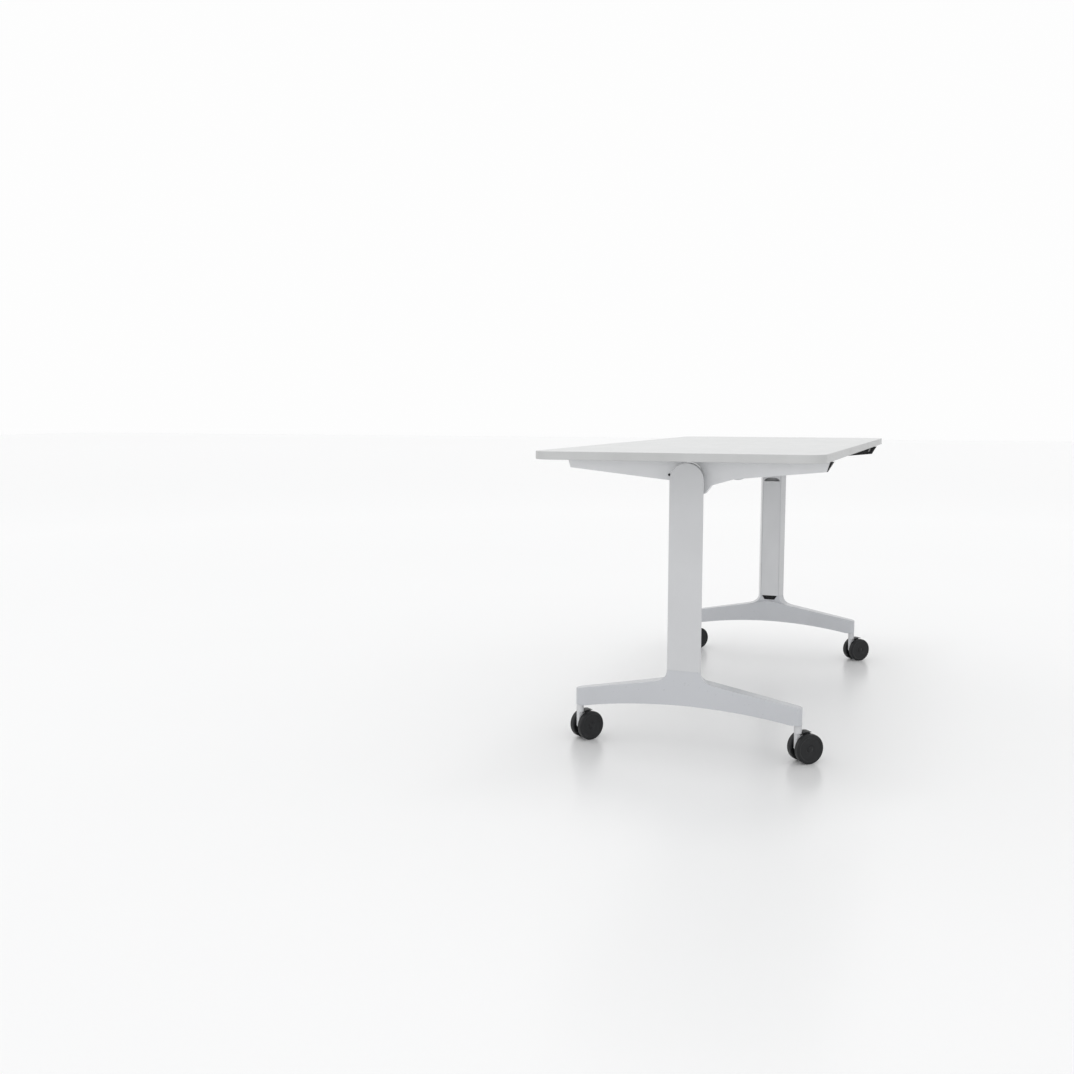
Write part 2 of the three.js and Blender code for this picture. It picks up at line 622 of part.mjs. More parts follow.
// Neck between the column and the cross tube, with its pivot lug
function columnHead() {
  const root = COLUMN_INNER_X - GAP;
  const boreEnd = NECK_END_X + NECK_BORE_DEPTH;
  const bore = TUBE_RADIUS + GAP;
  const profile = [
    [0, COLUMN_INNER_X + SPIGOT_LENGTH], [SPIGOT_RADIUS, COLUMN_INNER_X + SPIGOT_LENGTH],
    [SPIGOT_RADIUS, root], [NECK_RADIUS, root], [NECK_RADIUS, COLUMN_INNER_X - NECK_STRAIGHT],
    [NECK_END_RADIUS, NECK_END_X], [bore, NECK_END_X], [bore, boreEnd], [0, boreEnd],
  ];
  const neck = turned("x", profile, headCentre);
  const lugOuter = ARM_INNER_X - LATCH_COVER_THICKNESS - SWING_GAP;
  const lugOutline = strapOutline(headCentre, NECK_END_RADIUS, PIVOT, LUG_RADIUS);
  const lug = cut(
    prism("x", lugOutline, lugOuter - LUG_THICKNESS, lugOuter),
    bar("x", bore, headCentre, lugOuter - LUG_THICKNESS - THROUGH, boreEnd),
  );
  const pinHole = bar(
    "x", PIN_RADIUS + GAP, PIVOT, lugOuter - LUG_THICKNESS - THROUGH, lugOuter + THROUGH,
  );
  const ledge = latchBlock(
    ARM_INNER_X - GAP, GROOVE_X, BOLT_HEIGHT / 2 + GAP, NECK_RADIUS + THROUGH,
    BOLT_START - GAP, NECK_RADIUS + THROUGH,
  );
  return cut(joined(neck, lug), pinHole, ledge);
}

function pivotPin() {
  const inner = ARM_INNER_X - LATCH_COVER_THICKNESS - SWING_GAP - LUG_THICKNESS;
  const seat = ARM_OUTER_X + GAP;
  const profile = [
    [0, inner], [PIN_RADIUS, inner], [PIN_RADIUS, seat], [PIN_HEAD_RADIUS, seat],
    [PIN_HEAD_RADIUS, seat + PIN_HEAD_THICKNESS], [0, seat + PIN_HEAD_THICKNESS],
  ];
  return turned("x", profile, PIVOT);
}

function pivotBush() {
  const bore = PIN_RADIUS + GAP;
  const profile = [
    [bore, ARM_INNER_X], [bore + BUSH_WALL, ARM_INNER_X],
    [bore + BUSH_WALL, ARM_OUTER_X], [bore, ARM_OUTER_X], [bore, ARM_INNER_X],
  ];
  return turned("x", profile, PIVOT);
}

const notchCentre = new THREE.Vector2(0, HEAD_Z + NOTCH_RISE);

function restPad() {
  const shape = new THREE.Shape();
  const low = Math.PI / 2 - degrees(PAD_HALF_ANGLE);
  const high = Math.PI / 2 + degrees(PAD_HALF_ANGLE);
  shape.absarc(notchCentre.x, notchCentre.y, NOTCH_RADIUS - GAP, low, high, false);
  shape.absarc(headCentre.x, headCentre.y, NECK_RADIUS + GAP, high, low, true);
  return prism("x", shape, ARM_OUTER_X - PAD_WIDTH, ARM_OUTER_X);
}

// Cross tube and support ring
function crossTube() {
  const end = NECK_END_X + NECK_BORE_DEPTH - GAP;
  const bore = TUBE_RADIUS - TUBE_WALL;
  const profile = [
    [bore, -end], [TUBE_RADIUS, -end], [TUBE_RADIUS, end], [bore, end], [bore, -end],
  ];
  return turned("x", profile, headCentre);
}

function tubeSupportRing() {
  const centre = new THREE.Vector2(0, UNDERSIDE - GAP - RING_RADIUS);
  const half = RING_WIDTH / 2;
  const disc = bar("x", RING_RADIUS, centre, -half, half);
  const hub = bar("x", TUBE_RADIUS + RING_HUB_WALL, headCentre, -half, half);
  const recess = cut(bar("x", RING_RADIUS - RING_RIM, centre, -half, half), hub);
  const nearRecess = recess.translate([-half - RING_WEB / 2, 0, 0]);
  const farRecess = recess.translate([half + RING_WEB / 2, 0, 0]);
  const bore = bar("x", TUBE_RADIUS + GAP, headCentre, -half - THROUGH, half + THROUGH);
  return cut(disc, nearRecess, farRecess, bore);
}

// Arm
function armOutline() {
  const under = (depth) => UNDERSIDE - depth;
  return outlineOf([
    [ARM_REAR_REACH, ARM_TOP_Z],
    [-ARM_FRONT_REACH, ARM_TOP_Z],
    [-ARM_FRONT_REACH + ARM_END_SLANT, under(ARM_END_DEPTH)],
    [-ARM_FRONT_KNEE_Y, under(ARM_FRONT_KNEE_DEPTH)],
    [-ARM_LOBE_Y, under(ARM_LOBE_DEPTH)],
    [-ARM_LOBE_TIP_Y, under(ARM_LOBE_TIP_DEPTH)],
    [-NOTCH_FRONT_Y, under(ARM_LOBE_TIP_DEPTH)],
    [-NOTCH_FRONT_Y, HEAD_Z],
    [NOTCH_REAR_Y, HEAD_Z],
    [NOTCH_REAR_Y, PIVOT.y - LUG_RADIUS],
    [PIVOT.x, PIVOT.y - LUG_RADIUS],
    [ARM_REAR_ROOT_Y, under(ARM_REAR_ROOT_DEPTH)],
    [ARM_REAR_REACH - ARM_END_SLANT, under(ARM_END_DEPTH)],
  ]);
}

const screwCentre = (y) => new THREE.Vector2(ARM_OUTER_X - SCREW_INSET, y);

function arm() {
  const body = prism("x", armOutline(), ARM_INNER_X, ARM_OUTER_X);
  const past = [ARM_INNER_X - THROUGH, ARM_OUTER_X + THROUGH];
  const notch = bar("x", NOTCH_RADIUS, notchCentre, ...past, NOTCH_ROUND);
  const pivotHole = bar("x", PIN_RADIUS + BUSH_WALL + 2 * GAP, PIVOT, ...past);
  const boltRoom = BOLT_HEIGHT / 2 + GAP;
  const chamber = latchBlock(
    ARM_INNER_X - THROUGH, GROOVE_X, boltRoom, boltRoom, BOLT_START, CHAMBER_END,
  );
  const rodRoom = ROD_RADIUS + GAP;
  const rodWay = latchBlock(
    ARM_INNER_X - THROUGH, GROOVE_X, rodRoom, rodRoom, CHAMBER_END - GAP, LEVER_PIN_Y,
  );
  const rebate = box(
    [ARM_INNER_X - THROUGH, -ARM_FRONT_REACH - THROUGH, UNDERSIDE - ARM_LOBE_TIP_DEPTH],
    [ARM_OUTER_X - ARM_CHEEK, REBATE_Y, TOP_HEIGHT],
  );
  const leverPinHole = bar(
    "x", LEVER_PIN_RADIUS + GAP, leverPinCentre,
    ARM_INNER_X, ARM_OUTER_X - ARM_CHEEK + LEVER_PIN_SEAT + GAP,
  );
  const screwHoles = Object.values(SCREW_PLACES).flatMap((y) => [
    bar("z", SCREW_RADIUS + GAP, screwCentre(y), HEAD_Z - NOTCH_RADIUS, TOP_HEIGHT),
    bar("z", SCREW_HEAD_RADIUS + GAP, screwCentre(y), HEAD_Z - NOTCH_RADIUS, UNDERSIDE - SCREW_SEAT),
  ]);
  return cut(body, notch, pivotHole, chamber, rodWay, rebate, leverPinHole, ...screwHoles);
}

function armScrew(y) {
  const seat = UNDERSIDE - SCREW_SEAT - GAP;
  const base = seat - SCREW_HEAD_HEIGHT;
  const tip = UNDERSIDE + SCREW_BITE;
  const profile = [
    [0, base], [SCREW_HEAD_RADIUS, base], [SCREW_HEAD_RADIUS, seat],
    [SCREW_RADIUS, seat], [SCREW_RADIUS, tip], [0, tip],
  ];
  return turned("z", profile, screwCentre(y), SMALL_ROUND);
}

// Latch
const leverPinCentre = new THREE.Vector2(-LEVER_PIN_Y, STUD.y - LEVER_CRANK);

function latchBolt() {
  const halfWidth = BOLT_WIDTH / 2;
  const halfHeight = BOLT_HEIGHT / 2;
  return latchBlock(
    LATCH_X - halfWidth, LATCH_X + halfWidth, halfHeight, halfHeight, BOLT_START, BOLT_END,
  );
}

// The latch line's own frame: its place along Y from the tube's axis, laid over to the stud
function alongLatch(geometry) {
  geometry.rotateX(-LATCH_ANGLE);
  geometry.translate(LATCH_X, 0, HEAD_Z);
  return geometry;
}

function pullRod() {
  const reach = LEVER_PIN_Y / Math.cos(LATCH_ANGLE);
  const eyeStart = reach - ROD_EYE_LENGTH / 2;
  const from = BOLT_END + GAP;
  const rod = new THREE.CylinderGeometry(ROD_RADIUS, ROD_RADIUS, eyeStart + GAP - from, SMALL_ROUND);
  rod.translate(0, -(from + eyeStart + GAP) / 2, 0);
  const eye = roundedRectangle(ROD_EYE_LENGTH, ROD_EYE_HEIGHT, ROD_EYE_LENGTH / 4);
  eye.holes.push(
    roundedRectangle(ROD_EYE_SLOT_WIDTH, ROD_EYE_SLOT_HEIGHT, ROD_EYE_SLOT_WIDTH / 2 - GAP),
  );
  const half = ROD_EYE_THICKNESS / 2;
  const plate = prism("x", eye, LATCH_X - half, LATCH_X + half, SMALL_ARC);
  return joined(solid(alongLatch(rod)), plate.translate([0, STUD.x, STUD.y]));
}

class SpringPath extends THREE.Curve {
  getPoint(t, target = new THREE.Vector3()) {
    const turn = 2 * Math.PI * SPRING_TURNS * t;
    const run = SPRING_LENGTH - 2 * SPRING_WIRE_RADIUS;
    const along = SPRING_START + SPRING_WIRE_RADIUS + run * t;
    return target.set(SPRING_RADIUS * Math.cos(turn), -along, SPRING_RADIUS * Math.sin(turn));
  }
}

function latchSpring() {
  const wire = new THREE.Shape();
  const step = (2 * Math.PI) / SPRING_SIDES;
  for (let i = 0; i < SPRING_SIDES; i += 1) {
    const x = SPRING_WIRE_RADIUS * Math.cos(i * step);
    const y = SPRING_WIRE_RADIUS * Math.sin(i * step);
    if (i) wire.lineTo(x, y);
    else wire.moveTo(x, y);
  }
  const path = new SpringPath();
  const steps = SPRING_TURNS * SPRING_STEPS;
  const points = path.getPoints(steps);
  let nearest = Infinity;
  points.forEach((p, i) => {
    points.slice(i + SPRING_STEPS - 1).forEach((q) => {
      nearest = Math.min(nearest, p.distanceTo(q) - 2 * SPRING_WIRE_RADIUS);
    });
  });
  console.log("latch spring, least gap between turns: " + nearest.toFixed(2) + " mm");
  return solid(alongLatch(new THREE.ExtrudeGeometry(wire, { steps, extrudePath: path })));
}

function latchCover() {
  const start = (NOTCH_RADIUS + LATCH_COVER_START) / Math.cos(LATCH_ANGLE);
  const end = -REBATE_Y / Math.cos(LATCH_ANGLE) - GAP;
  const half = BOLT_HEIGHT / 2 + LATCH_COVER_LAP;
  return latchBlock(
    ARM_INNER_X - GAP - LATCH_COVER_THICKNESS, ARM_INNER_X - GAP, half, half, start, end,
  );
}

// Release lever: a leg inside the arm's cheek, a nose in front of the arm and a bar to pull
function releaseLever() {
  const outer = ARM_OUTER_X - ARM_CHEEK - GAP;
  const front = outer - LEVER_FRONT_THICKNESS;
  const tail = outer - LEVER_TAIL_THICKNESS;
  const top = UNDERSIDE - LEVER_TOP_GAP;
  const bottom = UNDERSIDE - ARM_END_DEPTH;
  const slope = (ARM_FRONT_KNEE_DEPTH - ARM_END_DEPTH) /
    (ARM_FRONT_REACH - ARM_END_SLANT - ARM_FRONT_KNEE_Y);
  const footY = -ARM_FRONT_REACH + ARM_END_SLANT - GAP;
  const lean = ARM_END_SLANT / (ARM_END_DEPTH - GAP);
  const headY = footY - lean * (top - bottom);
  const tailBottom = bottom - slope * (LEVER_TAIL_Y - footY);
  const plan = outlineOf([
    [outer, headY - LEVER_NOSE], [outer, LEVER_TAIL_Y], [tail, LEVER_TAIL_Y], [front, footY],
    [front, headY - LEVER_NOSE],
  ]);
  const side = outlineOf([
    [headY, top], [footY, bottom], [LEVER_TAIL_Y, tailBottom], [LEVER_TAIL_Y, top],
  ]);
  const leg = prism("z", plan, tailBottom, top).intersect(prism("x", side, front, outer));
  const nose = outlineOf([
    [headY, top], [headY - LEVER_NOSE, top], [footY - GAP, bottom], [footY, bottom],
  ]);
  const barBottom = top - LEVER_BAR_HEIGHT;
  const barHead = headY + LEVER_BAR_SETBACK;
  const barFoot = footY - lean * (barBottom - bottom) + LEVER_BAR_SETBACK;
  const barOutline = outlineOf([
    [barHead, top], [barFoot, barBottom],
    [barFoot + LEVER_BAR_DEPTH, barBottom], [barHead + LEVER_BAR_DEPTH, top],
  ]);
  const handle = prism("x", barOutline, front - LEVER_BAR_LENGTH, front + GAP);
  const stud = bar(
    "x", LEVER_STUD_RADIUS, STUD, LATCH_X - ROD_EYE_THICKNESS, outer - THROUGH, SMALL_ROUND,
  );
  const pinHole = bar("x", LEVER_PIN_RADIUS + GAP, leverPinCentre, front - THROUGH, ARM_OUTER_X);
  return cut(joined(leg, prism("x", nose, front, ARM_OUTER_X), handle, stud), pinHole);
}

function leverPin() {
  const outer = ARM_OUTER_X - ARM_CHEEK - GAP;
  const reach = ARM_OUTER_X - ARM_CHEEK + LEVER_PIN_SEAT;
  const legFront = ARM_FRONT_REACH - ARM_END_SLANT;
  const share = (LEVER_PIN_Y + LEVER_TAIL_Y) / (legFront + LEVER_TAIL_Y);
  const thickness = LEVER_TAIL_THICKNESS + share * (LEVER_FRONT_THICKNESS - LEVER_TAIL_THICKNESS);
  const radiusRise = (LEVER_PIN_HEAD_RADIUS / legFront) * LEVER_FRONT_THICKNESS;
  const seat = outer - thickness - radiusRise - GAP;
  const profile = [
    [0, seat - LEVER_PIN_HEAD_THICKNESS], [LEVER_PIN_HEAD_RADIUS, seat - LEVER_PIN_HEAD_THICKNESS],
    [LEVER_PIN_HEAD_RADIUS, seat], [LEVER_PIN_RADIUS, seat], [LEVER_PIN_RADIUS, reach], [0, reach],
  ];
  return turned("x", profile, leverPinCentre, SMALL_ROUND);
}

// Castor, in its own frame: the swivel axis on Z, the axle along X, trailing towards -Y
const axleCentre = new THREE.Vector2(-CASTOR_TRAIL, WHEEL_RADIUS);
const WHEEL_INNER_X = WHEEL_SPACING / 2;

function castorPost() {
  const top = FOOT_END_UNDER_Z - GAP;
  const centre = new THREE.Vector2(0, 0);
  const profile = [
    [0, POST_SHOULDER_Z], [POST_RADIUS, POST_SHOULDER_Z], [POST_RADIUS, top],
    [STEM_RADIUS, top], [STEM_RADIUS, top + STEM_LENGTH], [0, top + STEM_LENGTH],
  ];
  const stem = turned("z", profile, centre);
  const half = POST_BLADE_THICKNESS / 2;
  const reach = Math.sqrt(POST_RADIUS ** 2 - half ** 2);
  const blade = outlineOf([
    [reach, POST_SHOULDER_Z + GAP], [-reach, POST_SHOULDER_Z + GAP],
    [-CASTOR_TRAIL, WHEEL_RADIUS + AXLE_BOSS_RADIUS], [-CASTOR_TRAIL, WHEEL_RADIUS - AXLE_BOSS_RADIUS],
    [0, POST_TOE_Z], [reach, POST_TOE_Z + POST_RADIUS],
  ]);
  const boss = bar("x", AXLE_BOSS_RADIUS, axleCentre, -half, half, ROUND);
  const bore = bar("x", AXLE_RADIUS + GAP, axleCentre, -half - THROUGH, half + THROUGH, ROUND);
  return cut(joined(stem, prism("x", blade, -half, half), boss), bore);
}

function castorHood() {
  const inner = WHEEL_RADIUS + HOOD_CLEARANCE;
  const from = Math.PI / 2 - degrees(HOOD_POST_ANGLE);
  const to = Math.PI / 2 + degrees(HOOD_TAIL_ANGLE);
  const shape = new THREE.Shape();
  shape.absarc(axleCentre.x, axleCentre.y, inner + HOOD_THICKNESS, from, to, false);
  shape.absarc(axleCentre.x, axleCentre.y, inner, to, from, true);
  const shell = prism("x", shape, -HOOD_WIDTH / 2, HOOD_WIDTH / 2);
  const post = bar(
    "z", POST_RADIUS + GAP, new THREE.Vector2(0, 0), POST_TOE_Z, FOOT_END_UNDER_Z,
  );
  const behindPost = box(
    [-HOOD_WIDTH, 0, POST_TOE_Z], [HOOD_WIDTH, CASTOR_TRAIL + POST_RADIUS, FOOT_END_UNDER_Z],
  );
  return cut(shell, post, behindPost);
}

function castorAxle() {
  const end = WHEEL_INNER_X + WHEEL_BORE_DEPTH - GAP;
  return bar("x", AXLE_RADIUS, axleCentre, -end, end, ROUND);
}

function castorWheel() {
  const inner = WHEEL_INNER_X + GAP;
  const outer = inner + WHEEL_WIDTH;
  const shoulder = WHEEL_RADIUS - WHEEL_EDGE;
  const bore = AXLE_RADIUS + GAP;
  const profile = [
    [0, outer], [shoulder, outer], [WHEEL_RADIUS, outer - WHEEL_EDGE],
    [WHEEL_RADIUS, inner + WHEEL_EDGE], [shoulder, inner], [bore, inner],
    [bore, inner + WHEEL_BORE_DEPTH], [0, inner + WHEEL_BORE_DEPTH],
  ];
  return turned("x", profile, axleCentre, ROUND);
}

// Assembly
addPiece(table, "worktop_board", worktopBoard(), WHITE_BOARD);
addPiece(table, "worktop_edge_band", worktopEdgeBand(), GREY_BAND);
addPiece(table, "cross_tube", crossTube(), LIGHT_GREY_PAINT);
addPiece(table, "tube_support_ring", tubeSupportRing(), COVER_PLASTIC);

// Pieces drawn for the right-hand side, which the left-hand side mirrors
const SIDE_PIECES = [
  ["foot", foot(), FOOT_GREY_PAINT],
  ["column", column(), LIGHT_GREY_PAINT],
  ["column_cover", columnCover(), COVER_PLASTIC],
  ["column_head", columnHead(), LIGHT_GREY_PAINT],
  ["tie_bolt", tieBolt(), STEEL],
  ["rest_pad", restPad(), GREY_RUBBER],
  ["pivot_pin", pivotPin(), BLACK_PLASTIC],
  ["pivot_bush", pivotBush(), BRONZE],
  ["arm", arm(), LIGHT_GREY_PAINT],
  ["latch_bolt", latchBolt(), BLACK_PLASTIC],
  ["latch_spring", latchSpring(), STEEL],
  ["pull_rod", pullRod(), BLACK_PLASTIC],
  ["latch_cover", latchCover(), LIGHT_GREY_PAINT],
  ["release_lever", releaseLever(), BLACK_PLASTIC],
  ["lever_pin", leverPin(), STEEL],
  ["rear_arm_screw", armScrew(SCREW_PLACES.rear), STEEL],
  ["front_arm_screw", armScrew(SCREW_PLACES.front), STEEL],
];
for (const [side, mirror] of [["left", -1], ["right", 1]]) {
  const group = new THREE.Group();
  group.scale.x = mirror;
  for (const [name, body, material] of SIDE_PIECES) {
    addPiece(group, side + "_" + name, body, material);
  }
  table.add(group);
}

const CASTOR_PIECES = [
  ["castor_post", castorPost(), LIGHT_GREY_PAINT, 1],
  ["castor_hood", castorHood(), BLACK_PLASTIC, 1],
  ["castor_axle", castorAxle(), STEEL, 1],
  ["right_wheel", castorWheel(), BLACK_PLASTIC, 1],
  ["left_wheel", castorWheel(), BLACK_PLASTIC, -1],
];
for (const [end, y] of [["front", -CASTOR_Y], ["rear", CASTOR_Y]]) {
  for (const [side, x] of [["left", -FOOT_X], ["right", FOOT_X]]) {
    const castor = new THREE.Group();
    castor.position.set(x, y, 0);
    castor.rotation.z = degrees(CASTOR_YAWS[end + "_" + side]);
    for (const [name, body, material, mirror] of CASTOR_PIECES) {
      const half = new THREE.Group();
      half.scale.x = mirror;
      addPiece(half, end + "_" + side + "_" + name, body, material);
      castor.add(half);
    }
    table.add(castor);
  }
}

export default table;
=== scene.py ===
"""Looks of a flip top training table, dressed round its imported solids."""
import json
import logging
import math
from dataclasses import dataclass
from enum import Enum
from typing import Iterable, Sequence

import bmesh
import bpy
from mathutils import Matrix, Vector


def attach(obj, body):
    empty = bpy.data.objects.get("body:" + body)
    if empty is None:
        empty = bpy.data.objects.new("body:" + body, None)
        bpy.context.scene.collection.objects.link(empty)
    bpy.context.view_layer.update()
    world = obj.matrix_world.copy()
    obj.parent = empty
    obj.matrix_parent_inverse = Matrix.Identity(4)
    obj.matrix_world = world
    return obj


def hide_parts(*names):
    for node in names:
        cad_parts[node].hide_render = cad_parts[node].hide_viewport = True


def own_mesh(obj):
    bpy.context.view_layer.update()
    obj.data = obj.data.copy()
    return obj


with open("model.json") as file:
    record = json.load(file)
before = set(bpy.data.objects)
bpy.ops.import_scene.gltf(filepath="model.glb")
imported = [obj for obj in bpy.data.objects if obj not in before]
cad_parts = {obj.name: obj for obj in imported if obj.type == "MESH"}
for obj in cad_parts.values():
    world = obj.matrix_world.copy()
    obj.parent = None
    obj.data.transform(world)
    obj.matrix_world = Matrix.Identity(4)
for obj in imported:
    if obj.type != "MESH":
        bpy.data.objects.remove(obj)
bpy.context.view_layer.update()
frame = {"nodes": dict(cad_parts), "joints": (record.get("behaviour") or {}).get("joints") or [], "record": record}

MM = 0.001
HAIR = 0.3  # clearance between pieces that touch, in millimetres
FINE = 64  # sides of a full turn
WEAR = "edge_wear"

Point = tuple[float, float]
Colour = tuple[float, float, float]

logging.basicConfig(level=logging.INFO, format="%(name)s: %(message)s")
log = logging.getLogger("flip_top_table")


class Axis(Enum):
    """A direction to carry an outline along, after the two axes that it is drawn on."""

    X = ((0, 1, 0), (0, 0, 1), (1, 0, 0))
    Y = ((1, 0, 0), (0, 0, 1), (0, 1, 0))
    Z = ((1, 0, 0), (0, 1, 0), (0, 0, 1))

    def at(self, u: float, v: float, along: float) -> Vector:
        """A point of the drawing, at a place along the axis."""
        across, up, run = (Vector(step) for step in self.value)
        return across * u + up * v + run * along


class Operation(Enum):
    """How one solid acts on another."""

    JOIN = "UNION"
    CUT = "DIFFERENCE"
    KEEP = "INTERSECT"


class Side(Enum):
    """The two ends of the table, each with the sign of its X."""

    LEFT = -1
    RIGHT = 1

    @property
    def word(self) -> str:
        """The word that starts the names of this side's pieces."""
        return self.name.lower()


# Drawing


def arc(centre: Point, radius: float, start: float, end: float, steps: int = 12) -> list[Point]:
    """Points along an arc.

    Args:
        centre: Centre of the arc.
        radius: Its radius.
        start: First angle, in degrees.
        end: Last angle, in degrees.
        steps: Number of chords.

    Returns:
        The points from the first angle to the last, both included.
    """
    turns = (math.radians(start + (end - start) * i / steps) for i in range(steps + 1))
    return [(centre[0] + radius * math.cos(t), centre[1] + radius * math.sin(t)) for t in turns]


def bend(start: Point, pull: Point, end: Point, steps: int = 24) -> list[Point]:
    """Points along a curve from one point to another, drawn towards a third.

    Args:
        start: First point.
        pull: Point that the curve leans to.
        end: Last point.
        steps: Number of chords.

    Returns:
        The points, both ends included.
    """
    points = []
    for i in range(steps + 1):
        t = i / steps
        a, b, c = (1 - t) ** 2, 2 * t * (1 - t), t * t
        points.append(
            (a * start[0] + b * pull[0] + c * end[0], a * start[1] + b * pull[1] + c * end[1])
        )
    return points


def rounded_rectangle(length: float, width: float, radius: float, steps: int = 14) -> list[Point]:
    """Outline of a rectangle with round corners, about the origin.

    Args:
        length: Size along the first axis.
        width: Size along the second axis.
        radius: Radius of the corners.
        steps: Chords in each corner.

    Returns:
        The outline, anticlockwise.
    """
    x, y = length / 2 - radius, width / 2 - radius
    corners = ((x, y, 0), (-x, y, 90), (-x, -y, 180), (x, -y, 270))
    return [p for cx, cy, a in corners for p in arc((cx, cy), radius, a, a + 90, steps)]


def strap(first: Point, first_radius: float, second: Point, second_radius: float) -> list[Point]:
    """Outline that wraps two circles.

    Args:
        first: Centre of the first circle.
        first_radius: Its radius.
        second: Centre of the second circle.
        second_radius: Its radius.

    Returns:
        The outline, anticlockwise.
    """
    run = Vector(second) - Vector(first)
    lean = math.degrees(math.acos((first_radius - second_radius) / run.length))
    bearing = math.degrees(math.atan2(run.y, run.x))
    far = arc(second, second_radius, bearing - lean, bearing + lean, 16)
    return far + arc(first, first_radius, bearing + lean, bearing - lean + 360, 32)


def softened(corners: Sequence[tuple[float, float, float]], steps: int = 6) -> list[Point]:
    """A polygon with its corners rounded.

    Args:
        corners: The corners in order, each with the radius that it gets.
        steps: Chords in each rounded corner.

    Returns:
        The outline.
    """
    outline: list[Point] = []
    count = len(corners)
    for i, (x, y, radius) in enumerate(corners):
        here = Vector((x, y))
        back = Vector(corners[i - 1][:2]) - here
        ahead = Vector(corners[(i + 1) % count][:2]) - here
        half = back.angle(ahead) / 2
        if radius <= 0 or half > math.radians(89):
            outline.append((x, y))
            continue
        reach = min(radius / math.tan(half), 0.45 * back.length, 0.45 * ahead.length)
        start = here + back.normalized() * reach
        end = here + ahead.normalized() * reach
        outline += bend(tuple(start), (x, y), tuple(end), steps)
    return outline


# Solids


def scratch(mesh: bpy.types.Mesh) -> bpy.types.Object:
    """An object that stands in the scene only while its mesh is worked on."""
    helper = bpy.data.objects.new("scratch", mesh)
    bpy.context.scene.collection.objects.link(helper)
    return helper


def settled(helper: bpy.types.Object) -> bpy.types.Mesh:
    """A plain mesh of what an object's modifiers make of it."""
    bpy.context.view_layer.update()
    graph = bpy.context.evaluated_depsgraph_get()
    return bpy.data.meshes.new_from_object(helper.evaluated_get(graph))


def discard(*helpers: bpy.types.Object) -> None:
    """Takes scratch objects out of the file."""
    for helper in helpers:
        bpy.data.objects.remove(helper)


